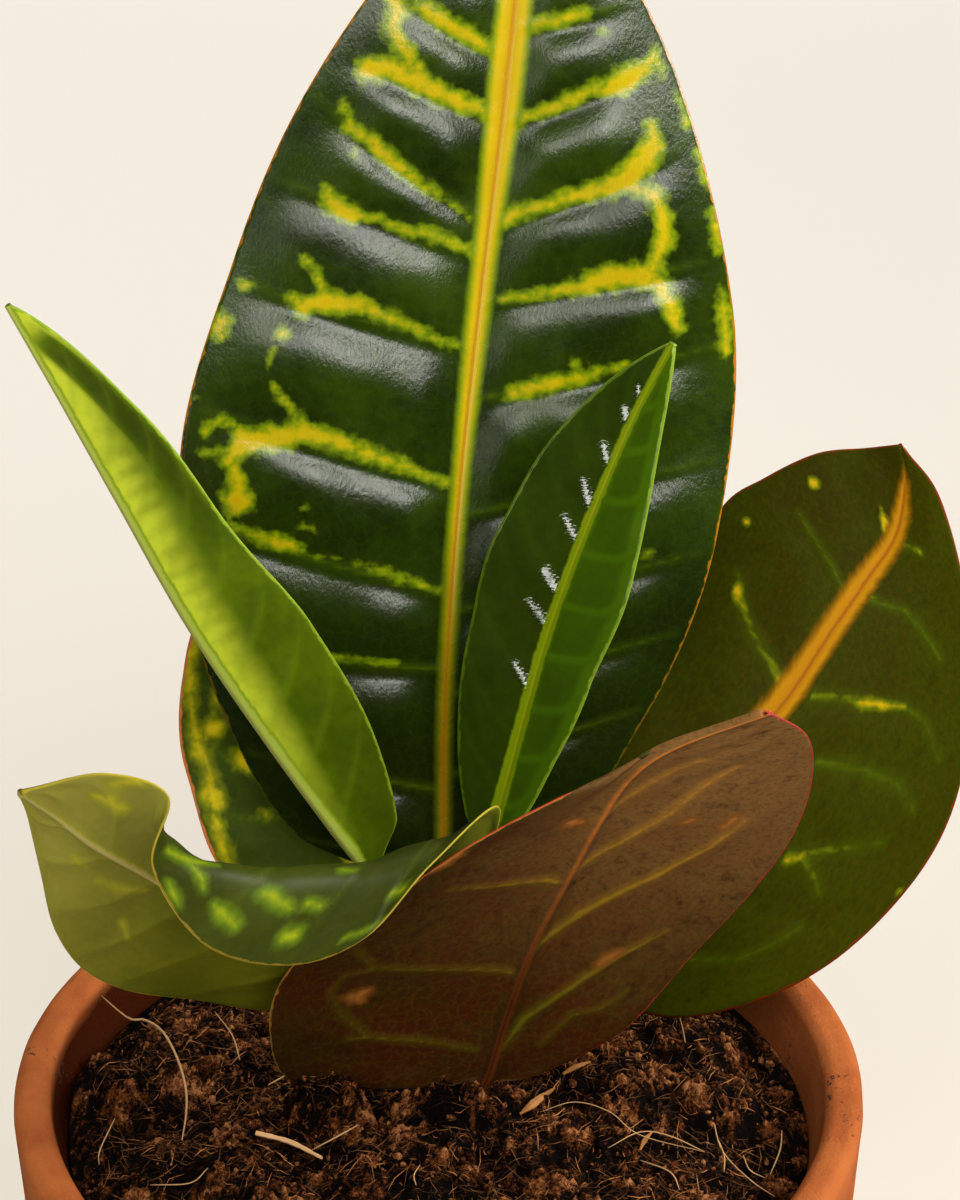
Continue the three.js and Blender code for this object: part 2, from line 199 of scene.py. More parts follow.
def attribute(start, name):
    """A number that a mesh carries at its points."""
    return start.node("Attribute", {"attribute_name": name}, out="Fac")


def object_place(start):
    """The place on an object, in metres from its origin."""
    return start.node("TexCoord", out="Object")


def object_mm(start, tall=1 / MM):
    """The place on an object in millimetres, or squeezed to another measure upwards."""
    return object_place(start).stretch(1 / MM, 1 / MM, tall)


print("wire class ready")

# %% [markdown]
# ## Floor and light
#
# The photo has a plain warm paper under and behind the plant, and large soft lights in front and above,
# brighter on the right. Their mirror images are what shows as sheen on the wavy leaves, so their places
# decide which slopes shine. The room behind the photographer is dark, which keeps the rest of the leaves
# deep in colour: here the paper and the world light the plant evenly but are left out of its reflections.
# The paper is painted a little darker near the plant than at the back: painted shade where the lamps
# light it more. Far out it fades into a surround of its own colour, which only the camera sees, so
# that it has no edge from any side.

# %% Floor, lamps and world
PAPER = (0.88, 0.845, 0.785)
# Painted shade: the paper's colour towards the front, where the lamps light it more.
SHADED_NEAR_PAPER = (0.73, 0.685, 0.61)
PALER_FROM, PALER_TO = 0.04, 0.42
FADE_FROM, FADE_TO = 0.52, 1.05
FLOOR_HALF = 3.0

corners = [(x * FLOOR_HALF, y * FLOOR_HALF, 0) for x, y in [(-1, -1), (1, -1), (1, 1), (-1, 1)]]
floor_mesh = bpy.data.meshes.new("floor")
floor_mesh.from_pydata(corners, [], [(0, 1, 2, 3)])
floor = bpy.data.objects.new("floor", floor_mesh)
bpy.context.collection.objects.link(floor)
paper, start = blank("paper")
spot = object_place(start)
distance = start.node("VectorMath", {"operation": "LENGTH"}, {0: spot}, out="Value")
backward = start.node("SeparateXYZ", {}, {0: spot}, out="Y")
# Painted shade: the paper is darker towards the front, where the lamps light it more.
matt = start.node("BsdfDiffuse", {}, {"Color": backward.step(PALER_FROM, PALER_TO).mix(SHADED_NEAR_PAPER, PAPER)})
clear = start.node("BsdfTransparent")
sheet = start.node("MixShader", {}, {0: distance.step(FADE_FROM, FADE_TO), 1: matt, 2: clear})
start.node("OutputMaterial", {}, {"Surface": sheet})
floor_mesh.materials.append(paper)
floor.visible_glossy = False

PLANT_MIDDLE = (0, 0, 0.13)
FAR_PAPER = (0, 0.7, 0)
LAMP_COLOUR = (1, 0.97, 0.92)


def lamp(name, place, wide, high, watts, spread=180, aim=PLANT_MIDDLE):
    """A soft lamp that looks at the middle of the plant, or at another aim."""
    light = bpy.data.lights.new(name, "AREA")
    light.shape = "RECTANGLE"
    light.size = wide
    light.size_y = high
    light.energy = watts
    light.color = LAMP_COLOUR
    light.spread = math.radians(spread)
    holder = bpy.data.objects.new(name, light)
    holder.location = place
    holder.rotation_euler = (Vector(aim) - Vector(place)).to_track_quat("-Z", "Y").to_euler()
    bpy.context.collection.objects.link(holder)


lamp("key_lamp", (0.3, -0.86, 0.98), 0.65, 0.45, 11.0)
lamp("fill_lamp", (-0.38, -0.86, 0.98), 0.65, 0.45, 4.5)
lamp("top_lamp", (-0.05, 0.45, 1.0), 0.8, 0.6, 2.8)
lamp("paper_lamp", (0, 0.8, 0.4), 1.4, 0.3, 2.4, aim=FAR_PAPER)
lamp("right_lamp", (0.8, 0.1, 0.5), 0.4, 0.4, 0.9, spread=45)
lamp("left_lamp", (-0.8, -0.8, 0.3), 0.2, 0.6, 1.0)

world = bpy.data.worlds.new("room")
world.use_nodes = True
world.node_tree.nodes.clear()
room = Wire(world.node_tree)
dim = room.node("Background", {}, {"Color": (1, 0.95, 0.87, 1), "Strength": 0.15})
plain = room.node("Background", {}, {"Color": (*PAPER, 1), "Strength": 1.0})
to_camera = room.node("LightPath", out="Is Camera Ray")
room.node("OutputWorld", {}, {"Surface": room.node("MixShader", {}, {0: to_camera, 1: dim, 2: plain})})
bpy.context.scene.world = world
world.cycles_visibility.glossy = False
bpy.context.scene.view_settings.view_transform = "Standard"

# %% [markdown]
# ## The form of a leaf
#
# A croton leaf is a thin leathery sheet on a round midrib. Two descriptions cover all seven. A plain
# leaf is a curved midrib with a half width to each side, folded and curled. A leaf that twists or
# hangs over itself is a net of given points instead: rows of five, from the left margin to the
# right. Both give the same thing, the point of the sheet at t from base to tip and s from the left
# margin (-1) to the right one (1). The numbers are those of the CAD source, in millimetres.

# %% Curves
def hermite(a, b, c, d, w):
    """The point w of the way from b to c, on the curve that comes from a and goes on to d."""
    out, into = (c - a) / 2, (d - b) / 2
    return b + out * w + (3 * (c - b) - 2 * out - into) * w**2 + (2 * (b - c) + out + into) * w**3


def spline(points, t):
    """A smooth curve through points, at t from 0 to 1."""
    points = np.asarray(points, float)
    ends = np.concatenate([[2 * points[0] - points[1]], points, [2 * points[-1] - points[-2]]])
    span = np.asarray(t, float) * (len(points) - 1)
    i = np.clip(span.astype(int), 0, len(points) - 2)
    return hermite(ends[i], ends[i + 1], ends[i + 2], ends[i + 3], (span - i)[..., None])


def smooth(x, low=0.0, high=1.0):
    """0 up to low, 1 from high on, and a smooth passage between them, also where high is the smaller."""
    x = np.clip((np.asarray(x, float) - low) / (high - low), 0, 1)
    return x * x * (3 - 2 * x)


def along(values, t):
    """A value that runs smoothly through a short list, evenly spaced over t."""
    values = np.asarray(values, float)
    span = np.asarray(t) * (len(values) - 1)
    i = np.clip(span.astype(int), 0, len(values) - 2)
    return values[i] + (values[i + 1] - values[i]) * smooth(span - i)


def unit(v):
    """Vectors at the length 1."""
    return v / np.maximum(np.linalg.norm(v, axis=-1, keepdims=True), 1e-9)


print("half-way along a bend:", spline([[0, 0, 0], [1, 1, 0], [2, 0, 0]], 0.25).round(3))

# %% Plain leaves
PLAIN_LEAVES = {
    "leaf_tall": dict(
        rib=[[0.6, 4.8, 106], [0.4, 5.4, 112], [0.6, 6.5, 121], [0.9, 9.5, 138], [2.4, 15, 160],
             [4.8, 22, 182], [7.6, 29.5, 204], [10.6, 40, 231]],
        stalk=0.03, face=[0, -1, 0.3], half=[31.5, 29.5], trim_left=[1.25, 1.05, 1.01, 0.95, 0.98, 0.97],
        trim_right=[1.1, 1, 1.01, 1.04, 1.03, 0.95], widest=0.45, full=0.75, fold=8, curl=-14,
        wave=[0.8, 3], midrib=1.5),
    "leaf_behind": dict(
        rib=[[-1.8, 3.4, 101], [-4.5, 6, 108], [-12.6, 12, 117], [-18.4, 17, 126], [-21.9, 22, 135.7],
             [-24, 26, 143.5]],
        stalk=0.1, face=[0.3, -0.8, 0.6], half=[12, 14], trim_left=[1.6, 1.4, 1.15, 1, 1, 1],
        trim_right=[1, 1], widest=0.5, full=0.6, fold=4, curl=-10, wave=[0.5, 3], midrib=1.1),
    "young_left": dict(
        rib=[[-3.2, -0.6, 113], [-4.5, -2, 117.5], [-10, -1.5, 124.5], [-20, 0, 140], [-27.5, 1, 153],
             [-34.5, 2, 167.5], [-41, 3, 181], [-46, 4, 191]],
        stalk=0.08, face=[0.8, 0.3, 0.5], half=[12, 11], trim_left=[1.1, 1.05, 1, 0.88, 1, 1.1],
        trim_right=[1.1, 1.05, 0.95, 0.85, 0.9, 1], widest=0.42, full=0.75, fold=65, curl=10,
        wave=[0, 3], midrib=1),
    "young_right": dict(
        rib=[[3.8, -0.4, 114.5], [4.8, -1, 121], [7.1, 0, 128.8], [10.3, 1, 142.3], [12.3, 2, 150],
             [15.7, 3, 160.8], [21.2, 5, 175.3], [25.8, 6, 185.2]],
        stalk=0.1, face=[-0.34, -0.9, 0.3], half=[9.8, 9.8], trim_left=[0.8, 0.85, 0.88, 1.02, 1.15, 1.2],
        trim_right=[0.7, 0.72, 0.82, 0.97, 0.95, 1], widest=0.45, full=0.75, fold=25, curl=0,
        wave=[0, 3], midrib=1),
}


TINY = 1e-4


class PlainLeaf:
    """A leaf with an even midrib, half widths, a fold and a curl."""

    def __init__(self, rib, **values):
        self.rib = rib
        self.__dict__.update(values)
        self.u = np.linspace(0, 1, 401)
        steps = np.linalg.norm(np.diff(spline(rib, self.u), axis=0), axis=1)
        self.run = np.concatenate([[0], np.cumsum(steps)]) / steps.sum()

    def middle(self, u):
        """The midrib at a share of its length."""
        return spline(self.rib, np.interp(u, self.run, self.u))

    def frame(self, u):
        """The midrib's place, the way the upper side looks there, and the way across."""
        run = unit(self.middle(np.minimum(u + TINY, 1)) - self.middle(np.maximum(u - TINY, 0)))
        face = np.asarray(self.face, float)
        normal = unit(face - run * (run @ face)[..., None])
        return self.middle(u), normal, np.cross(run, normal)

    def blade(self, t, s):
        """The sheet's points, and at s = 0 the midrib's."""
        t, s = np.broadcast_arrays(t, s)
        left = s < 0
        side = np.where(left, -1.0, 1.0)
        peak = math.log(0.5) / math.log(self.widest)
        outline = np.maximum(np.sin(np.pi * t**peak), 0) ** self.full
        trim = np.where(left, along(self.trim_left, t), along(self.trim_right, t))
        width = np.maximum(np.where(left, *self.half) * outline * trim, 0.35)
        fold = math.radians(self.fold)
        curl = math.radians(self.curl) or 1e-6
        turn = fold + curl * np.abs(s)
        height, count = self.wave
        ripple = height * s * s * np.sin(2 * np.pi * count * t + side) * np.sin(np.pi * t)
        out = side * width * (np.sin(turn) - math.sin(fold)) / curl
        lift = width * (math.cos(fold) - np.cos(turn)) / curl + ripple
        centre, normal, across = self.frame(self.stalk + (1 - self.stalk) * t)
        return centre + across * out[..., None] + normal * lift[..., None]


print("plain leaves:", list(PLAIN_LEAVES))

# %% Net leaves
NET_LEAVES = {
    "leaf_right": dict(
        stem=[[5.3, 1.4, 99.5], [8.5, 3.5, 106]],
        net=[
            [[12, 6.5, 113], [12, 6, 112.5], [12.5, 6, 112.5], [12.5, 6, 112], [13, 5.5, 112]],
            [[13.5, 10, 118.5], [14.5, 8.5, 116.5], [16, 7, 114], [17.5, 6.5, 107.5], [19, 6.5, 99]],
            [[17, 16, 124.5], [20, 12.5, 121], [23.5, 9.5, 118], [25.5, 7.5, 107.5], [27.5, 7.5, 93.5]],
            [[22.5, 22, 131.5], [27, 17, 128], [31.5, 12.5, 124], [35.5, 8.5, 112.5], [39, 5, 98.5]],
            [[28, 28, 140], [33.5, 21.5, 136.5], [39.5, 16, 131.5], [44.5, 10.5, 119.5], [49, 5.5, 106]],
            [[33, 32, 149], [39.5, 26, 144.5], [45.5, 20, 139.5], [52, 13.5, 129], [57.5, 7.5, 117.5]],
            [[38, 33, 152.5], [43.5, 28, 148.5], [49.5, 23, 144.5], [55.5, 17, 137.5], [61, 11, 129.5]],
            [[44, 33.5, 155.5], [48.5, 30, 152], [53, 26, 149], [57.5, 21.5, 146.5], [61, 17, 143]],
            [[49.5, 33, 156.5], [52, 31, 155.5], [54, 29, 154.5], [56, 27.5, 154], [58, 26, 153.5]],
            [[53.3, 31.1, 158.1], [53.4, 31, 158.1], [53.5, 31, 158], [53.6, 31, 158], [53.7, 30.9, 157.9]],
        ],
        midrib=1.4),
    "leaf_front": dict(
        stem=[[5, -3.2, 89.8], [5.1, -3.4, 91]],
        net=[
            [[6.5, -3.5, 91.5], [6, -3.5, 92], [5, -3.5, 92.5], [4, -3.5, 92], [3, -3.5, 92]],
            [[12.5, -3, 93.5], [9, -3.4, 94], [6, -4.2, 95.5], [-5, -2.4, 91.5], [-16, 1, 88.5]],
            [[21.5, -5, 101], [15, -5.5, 103], [8, -6, 105], [-6, -5.5, 103], [-19.5, -4.5, 100.5]],
            [[29, -9, 114.5], [20.5, -10, 116], [11, -11, 118.5], [-3.5, -11.5, 116.5],
             [-16.5, -11.5, 114.5]],
            [[35, -14, 126.5], [25.5, -15, 129], [15, -16, 131.5], [4.5, -17.5, 129.5], [-7, -18.5, 127]],
            [[39, -19, 137.5], [29, -19.5, 139], [18, -20, 141], [10.5, -22.5, 140.5], [3, -24.5, 139.5]],
            [[40.5, -24, 148], [31, -24, 148.5], [21, -24, 149], [17.5, -26, 148.5], [13.5, -27, 148]],
            [[39.5, -29, 157], [33.5, -28, 155.5], [25.5, -27.5, 155], [24, -27, 154.5], [23, -24, 151]],
            [[35.2, -31, 161.5], [35.1, -31, 161.5], [35, -31, 161.5], [34.9, -31, 161.5],
             [34.8, -31, 161.4]],
        ],
        midrib=1.3),
    "leaf_curled": dict(
        stem=[[-1.8, -2.8, 104], [-1, -4.5, 107.5]],
        net=[
            [[2.5, -6, 114.5], [1.5, -5.5, 113.5], [1, -5, 111.5], [0, -4, 109.5], [-0.5, -3, 107.5]],
            [[7, -15, 138.5], [3.5, -12, 129], [-1.5, -7, 116.5], [-3, -3, 109], [-5, 0, 103]],
            [[-0.5, -29, 140.5], [0, -21, 138], [-6, -9, 120.5], [-9, -3, 108.5], [-11.5, 1, 100]],
            [[-7.5, -34, 134.5], [-6.5, -27, 139.5], [-14, -12, 122], [-17, -5, 108.5], [-19.5, 0, 100]],
            [[-15.5, -39, 134.5], [-15, -33, 142.5], [-21.5, -21, 129.5], [-25, -13, 116.5], [-28, -6, 106]],
            [[-24, -43, 140], [-23, -38, 146.5], [-27.5, -29, 137.5], [-31.5, -22, 125], [-34.5, -14, 113]],
            [[-29, -46, 152], [-27.5, -42, 152.5], [-31.5, -35, 144.5], [-35.5, -28, 132.5], [-39, -21, 121]],
            [[-27, -47, 161.5], [-30.5, -44, 157.5], [-35.5, -40, 151], [-38.5, -36, 143], [-41, -31, 133.5]],
            [[-33.5, -48, 165], [-36, -46, 161], [-39, -43.5, 157], [-40.5, -41, 152], [-41.5, -38, 146]],
            [[-42, -47.2, 162.3], [-42, -47, 162.2], [-42.1, -47, 162.1], [-42.1, -47, 162],
             [-42, -46.8, 161.9]],
        ],
        midrib=1.2),
}


class NetLeaf:
    """A leaf through rows of five points, after the points of its stalk."""

    def __init__(self, stem, net, midrib):
        self.net = np.asarray(net, float)
        self.spine = np.concatenate([stem, self.net[:, 2]])
        self.stalk = len(stem) / (len(stem) + len(net) - 1)
        self.midrib = midrib

    def frame(self, u):
        """The midrib's place, the way the upper side looks there, and the way across."""
        ahead, behind = np.minimum(u + TINY, 1), np.maximum(u - TINY, 0)
        run = unit(spline(self.spine, ahead) - spline(self.spine, behind))
        t = np.maximum((u - self.stalk) / (1 - self.stalk), 0)
        sideways = self.blade(t, 0.2) - self.blade(t, -0.2)
        normal = unit(np.cross(sideways, run))
        return spline(self.spine, u), normal, np.cross(run, normal)

    def blade(self, t, s):
        """The sheet's points, and at s = 0 the midrib's."""
        t, s = np.broadcast_arrays(t, s)
        columns = np.stack([spline(self.net[:, i], t) for i in range(5)])
        first = 2 * columns[:1] - columns[1:2]
        last = 2 * columns[-1:] - columns[-2:-1]
        ends = np.concatenate([first, columns, last])
        span = (s + 1) * 2
        i = np.clip(span.astype(int), 0, 3)
        four = [np.take_along_axis(ends, (i + k)[None, ..., None], axis=0)[0] for k in range(4)]
        return hermite(*four, (span - i)[..., None])


SHAPES = {name: PlainLeaf(**leaf) for name, leaf in PLAIN_LEAVES.items()}
SHAPES.update({name: NetLeaf(**leaf) for name, leaf in NET_LEAVES.items()})
print("net leaves:", list(NET_LEAVES))

# %% [markdown]
# ## Veins
#
# Side veins leave the midrib in pairs and run to the margin, and between them a croton's blade swells
# like a quilt, which is what breaks the sheen into patches. Each leaf lists where its veins start, as a
# share of its length on the left and on the right, how far they climb towards the tip on their way out,
# how high the quilt swells, and from the base to the tip half the width of the coloured band along its
# midrib. The share from which its tip is out of the photo gets markings by chance. A place is laid flat
# for all of this: millimetres along the leaf, and millimetres out from the midrib.

# %% Vein tables
SIX = [0.1, 0.24, 0.38, 0.52, 0.66, 0.8]
SEVEN = [0.12, 0.25, 0.38, 0.5, 0.61, 0.73, 0.85]
TEN = [0.1, 0.19, 0.28, 0.37, 0.46, 0.55, 0.64, 0.73, 0.82, 0.9]
YOUNG_BAND = [0.8, 0.7, 0.6, 0.5, 0.4, 0.3]
VEINS = {
    "leaf_tall": dict(
        left=[0.05, 0.128, 0.247, 0.318, 0.418, 0.541, 0.625, 0.655, 0.747, 0.8, 0.86, 0.92],
        right=[0.06, 0.14, 0.22, 0.3, 0.39, 0.495, 0.583, 0.652, 0.742, 0.825, 0.87, 0.93],
        climb=[[0.03, 0.04, 0.01, 0.05, 0.05, 0.04, 0.05, 0.1, 0.05, 0.06, 0.06, 0.06],
               [0.08, 0.08, 0.08, 0.08, 0.08, 0.08, 0.068, 0.1, 0.08, 0.04, 0.06, 0.06]],
        swell=1.25, calm=11, band=[0.4, 0.45, 0.55, 0.95, 1.6, 1.1], unseen=0.7),
    "leaf_behind": dict(
        left=SIX, right=SIX, climb=[0.14, 0.14], hook=0.06, swell=0.35, calm=4,
        band=[0.9, 0.8, 0.7, 0.6, 0.4, 0.2], unseen=0.4),
    "young_left": dict(
        left=TEN, right=TEN, climb=[0.12, 0.12], hook=0.05, swell=0.25, calm=4, band=YOUNG_BAND),
    "young_right": dict(
        left=[0.12, 0.23, 0.34, 0.455, 0.53, 0.63, 0.705, 0.77, 0.845, 0.9],
        right=[0.1, 0.2, 0.3, 0.4, 0.5, 0.6, 0.7, 0.79, 0.87],
        climb=[0.12, 0.05], hook=0.04, swell=0.3, calm=3, band=YOUNG_BAND, faint_left=True),
    "leaf_right": dict(
        left=[0.1, 0.2, 0.32, 0.466, 0.61, 0.74, 0.85], right=[0.1, 0.2, 0.3, 0.4, 0.47, 0.645, 0.775, 0.87],
        climb=[0.07, 0.24], hook=0.04, swell=0.25, calm=6, band=[1.75, 1.7, 1.5, 1.2, 0.9, -1.0]),
    "leaf_front": dict(
        left=[0.07, 0.17, 0.365, 0.5, 0.64, 0.77], right=[0.06, 0.17, 0.316, 0.475, 0.61, 0.74, 0.86],
        climb=[0.38, 0.09], swell=0.2, calm=5, band=[0.15, 0.12, 0.12, 0.14, 0.14, 0.05]),
    "leaf_curled": dict(
        left=SEVEN, right=SEVEN, climb=[0.2, 0.22], swell=0.3, calm=4, band=[0.9, 0.8, 0.6, 0.5, 0.45, 0.3]),
}
TRACED_VEINS = {
    "leaf_front": [
        [(500, 1043, 0.15), (527, 1017, 0.12), (584, 978, 0.1), (623, 955, 0.1), (668, 930, -0.05)],
        [(538, 940, 0.15), (584, 910, 0.15), (653, 875, 0.12), (707, 848, 0.05), (745, 822, -0.1)],
        [(573, 867, 0.05), (623, 841, 0.0), (672, 814, -0.1), (737, 768, -0.1)],
        [(600, 814, -0.05), (650, 785, -0.1), (700, 760, -0.1)],
        [(558, 879, 0.1), (500, 884, 0.05), (450, 889, -0.1)],
        [(512, 971, 0.06), (450, 968, 0.0), (378, 967, -0.05), (345, 978, -0.08), (328, 994, -0.1),
         (345, 1018, -0.06), (366, 1036, -0.04)],
        [(378, 967, -0.05), (362, 955, -0.1), (350, 940, -0.15)],
        [(477, 1049, -0.15), (440, 1043, -0.12), (412, 1040, -0.03), (366, 1036, -0.05), (345, 1038, -0.15)],
        [(540, 1045, -0.2), (570, 1015, -0.15), (600, 1008, -0.1), (630, 990, -0.2)],
    ],
    "leaf_right": [
        [(781, 682, 0.05), (768, 655, 0.0), (754, 633, 0.0), (741, 607, 0.0), (735, 575, 0.0)],
        [(815, 698, 0.05), (860, 703, 0.0), (902, 704, 0.0), (925, 725, 0.0), (938, 760, 0.0)],
        [(818, 763, 0.05), (860, 770, 0.0), (897, 788, 0.0), (915, 810, 0.0)],
        [(786, 858, 0.05), (812, 853, 0.0), (846, 850, 0.0), (885, 845, 0.0)],
        [(804, 860, 0.0), (816, 878, 0.0), (817, 895, 0.0)],
        [(690, 960, 0.05), (740, 957, 0.0), (775, 942, 0.0), (800, 930, 0.0)],
        [(843, 593, 0.0), (825, 555, 0.0), (800, 515, 0.0)],
        [(870, 600, 0.0), (905, 612, 0.0), (930, 640, 0.0), (940, 660, 0.0)],
        [(896, 541, 0.0), (921, 551, 0.0)],
    ],
}
print("veins on each side:", {name: (len(leaf["left"]), len(leaf["right"])) for name, leaf in VEINS.items()})

# %% [markdown]
# ## Markings
#
# The yellow is no pattern laid over the leaf: it follows the veins, spreads at their ends and leaves
# most of the blade green. So each streak is a stroke of a brush, drawn as a few places in the photo
# with the brush's half width in millimetres. The camera tells which place of the leaf each one
# covers, and from there on the stroke belongs to the leaf.

# %% Strokes read off the photo: across, down, half width
STROKES = {
    "leaf_tall": [
        [(391, 0, 0.9), (399, 13, 1.2), (391, 29, 1.0), (402, 45, 1.1), (418, 67, 0.8)],
        [(368, 72, 1.5), (391, 71, 1.3), (418, 75, 1.0), (440, 88, 0.6), (458, 98, 0.9), (495, 116, 1.0)],
        [(429, 4, 0.6)],
        [(488, 46, 0.35)],
        [(342, 100, 0.4), (349, 118, 0.5), (353, 130, 0.9), (372, 144, 0.9), (391, 160, 1.1), (411, 177, 0.8),
         (428, 190, 0.7), (444, 199, 0.3), (470, 216, 0.2)],
        [(357, 153, 0.4)],
        [(328, 190, 0.8), (330, 200, 1.1), (347, 212, 1.3), (362, 217, 0.6), (378, 220, 0.4), (404, 229, 0.7),
         (430, 236, 0.7), (448, 243, 0.7), (472, 254, 0.6)],
        [(304, 258, 0.5), (312, 270, 0.5), (320, 284, 0.5), (326, 297, 1.1)],
        [(290, 297, 0.7), (299, 307, 1.0), (312, 303, 1.1), (328, 299, 1.6), (347, 302, 1.1), (364, 306, 1.0),
         (391, 317, 0.9), (412, 326, 0.6), (432, 337, 0.5), (458, 346, 0.4)],
        [(284, 334, 0.9)],
        [(272, 350, 0.2), (272, 362, 0.3)],
        [(273, 386, 0.4), (283, 397, 0.5), (296, 417, 0.5), (303, 432, 1.0)],
        [(229, 460, 0.8), (244, 443, 1.5), (274, 441, 1.5), (303, 432, 1.3), (333, 442, 1.2), (370, 453, 1.0),
         (399, 464, 0.9), (420, 473, 0.6), (446, 482, 0.5)],
        [(236, 470, 0.9), (238, 485, 1.1), (240, 501, 1.8)],
        [(203, 430, 0.5), (224, 421, 0.4), (237, 431, 0.5)],
        [(204, 453, 0.4), (222, 453, 0.4)],
        [(222, 492, 0.4), (229, 523, 0.2), (252, 536, 0.6), (274, 541, 1.1), (291, 545, 0.8),
         (314, 555, -0.1), (344, 560, -0.1), (392, 573, 0.6), (438, 589, 0.3)],
        [(305, 505, 0.3)],
        [(303, 525, 0.3), (312, 526, 0.3)],
        [(222, 318, 1.0), (221, 330, 1.2)],
        [(244, 288, 0.8)],
        [(196, 402, 0.3)],
        [(333, 655, 0.3), (400, 664, 0.1)],
        [(530, 27, 0.5), (548, 22, 0.8), (566, 20, 0.9), (580, 22, 0.4)],
        [(606, 30, 0.5)],
        [(600, 92, 0.3), (613, 88, 1.3), (627, 80, 1.6), (641, 70, 1.2), (652, 60, 0.9)],
        [(500, 222, 0.8), (516, 212, 1.0), (541, 206, 0.8), (575, 195, 1.0), (602, 188, 1.2), (630, 180, 1.6),
         (648, 162, 1.6), (656, 140, 1.3), (653, 128, 0.7)],
        [(634, 184, 1.2), (655, 195, 1.0), (663, 215, 1.1), (664, 236, 1.2), (657, 255, 1.0),
         (655, 266, 1.0)],
        [(500, 300, 0.5), (541, 294, 0.6), (575, 286, 1.1), (610, 279, 1.6), (645, 275, 1.5), (661, 285, 1.2),
         (672, 303, 1.1), (679, 322, 1.0)],
        [(512, 394, 0.9), (541, 386, 1.1), (575, 378, 0.9), (627, 367, 0.4)],
        [(572, 364, 0.6)],
        [(655, 56, 0.7), (666, 76, 0.4)],
        [(676, 95, 0.3), (688, 125, 0.5)],
        [(697, 150, 0.3), (704, 172, 0.7), (708, 190, 0.4)],
        [(712, 212, 0.5), (716, 240, 0.8), (718, 256, 0.4)],
        [(722, 288, 0.4), (725, 320, 0.9), (728, 352, 0.6)],
        [(650, 552, 0.5)],
    ],
    "leaf_behind": [
        [(215, 728, 1.1)],
        [(190, 640, 0.9), (187, 660, 0.6), (190, 690, 0.7), (192, 715, 0.4), (203, 755, 0.9), (210, 775, 0.4),
         (214, 797, 1.2), (216, 815, 0.5), (222, 845, 0.6), (230, 866, 0.6)],
        [(266, 815, 0.3)],
    ],
    "leaf_right": [
        [(781, 682, 0.7), (768, 655, 0.3), (754, 633, 0.3), (741, 607, 0.5), (735, 592, 0.8)],
        [(815, 698, 0.4), (840, 699, 0.2), (860, 703, 0.7), (885, 706, 0.7), (902, 704, 0.5)],
        [(786, 858, 0.7), (812, 853, 0.4), (846, 850, 0.2)],
        [(804, 862, 0.3), (816, 878, 0.3)],
        [(896, 542, 0.5), (908, 545, 0.2), (921, 551, 0.5)],
        [(880, 508, 0.5), (884, 518, 0.9), (888, 532, 1.2)],
        [(870, 597, 0.4), (885, 603, 0.15)],
        [(812, 484, 1.0)],
        [(748, 523, 0.8)],
        [(899, 892, 0.5)],
    ],
    "leaf_front": [
        [(563, 822, 0.3), (573, 822, 1.0), (583, 822, 0.5)],
        [(683, 823, 0.5), (692, 820, 0.4)],
        [(433, 868, 0.6), (447, 861, 1.0), (460, 853, 0.6)],
        [(345, 999, 0.3), (357, 997, 1.0), (370, 993, 0.4)],
        [(598, 965, 0.3), (610, 957, 0.5), (620, 950, 0.3)],
        [(722, 828, 0.4), (735, 820, 0.5)],
    ],
    "leaf_curled": [
        [(167, 882, 0.7), (171, 892, 1.0), (175, 903, 0.7)],
        [(192, 868, 0.8), (198, 879, 0.9), (201, 889, 0.5)],
        [(212, 905, 0.7), (222, 913, 1.1), (233, 924, 0.8)],
        [(260, 891, 0.8), (273, 897, 1.1), (289, 908, 0.8)],
        [(284, 936, 1.2), (293, 937, 1.2)],
        [(306, 903, 0.8), (320, 907, 0.8)],
        [(392, 893, 1.1), (404, 890, 1.1)],
        [(340, 873, 0.7), (352, 872, 0.6)],
        [(168, 852, 1.0), (182, 858, 1.0), (200, 863, 0.9), (215, 868, 0.4)],
        [(345, 938, 0.6), (362, 930, 0.7), (380, 921, 0.6)],
        [(72, 855, 0.4), (80, 861, 0.7), (88, 868, 0.4)],
        [(95, 880, 0.5), (105, 884, 0.7), (118, 888, 0.8), (145, 889, 0.5)],
        [(123, 922, 0.9), (129, 938, 0.5)],
        [(92, 796, 0.9), (107, 800, 1.6), (124, 810, 1.2)],
        [(115, 784, 1.3), (140, 782, 1.4)],
    ],
}
BRUSH_GAIN = 1.1
BRUSH_LOSS = {"leaf_tall": 0.72, "leaf_right": 0.6, "leaf_front": 0.5, "leaf_curled": 0.9, "leaf_behind": 0.5}
print("strokes:", {name: len(strokes) for name, strokes in STROKES.items()})

# %% [markdown]
# The right young leaf has rows of tiny, sharp flashes beside its midrib, where its skin is creased into
# small steps that face the light. They are laid like the strokes, as masks, and inside them the material
# tilts the surface in steps of GLINT_STEP millimetres along the lean that mirrors the key lamp.

# %% Glints: across, down, half width
GLINTS = {
    "young_right": [
        [(640, 398, 0.2), (638, 388, 0.25)],
        [(628, 427, 0.25), (626, 410, 0.45)],
        [(610, 472, 0.2), (607, 458, 0.4), (603, 445, 0.3)],
        [(592, 515, 0.2), (589, 500, 0.45), (585, 482, 0.3)],
        [(578, 549, 0.2), (572, 532, 0.4), (565, 516, 0.3)],
        [(559, 600, 0.25), (553, 585, 0.55), (545, 570, 0.55)],
        [(549, 632, 0.2), (541, 616, 0.45), (529, 600, 0.3)],
        [(528, 690, 0.2), (522, 678, 0.4), (515, 664, 0.3)],
    ],
}
GLINT_STEP = 0.4
GLINT_LEAN = (0.2 / GLINT_STEP, -0.57 / GLINT_STEP)
print("glints:", sum(len(glints) for glints in GLINTS.values()))
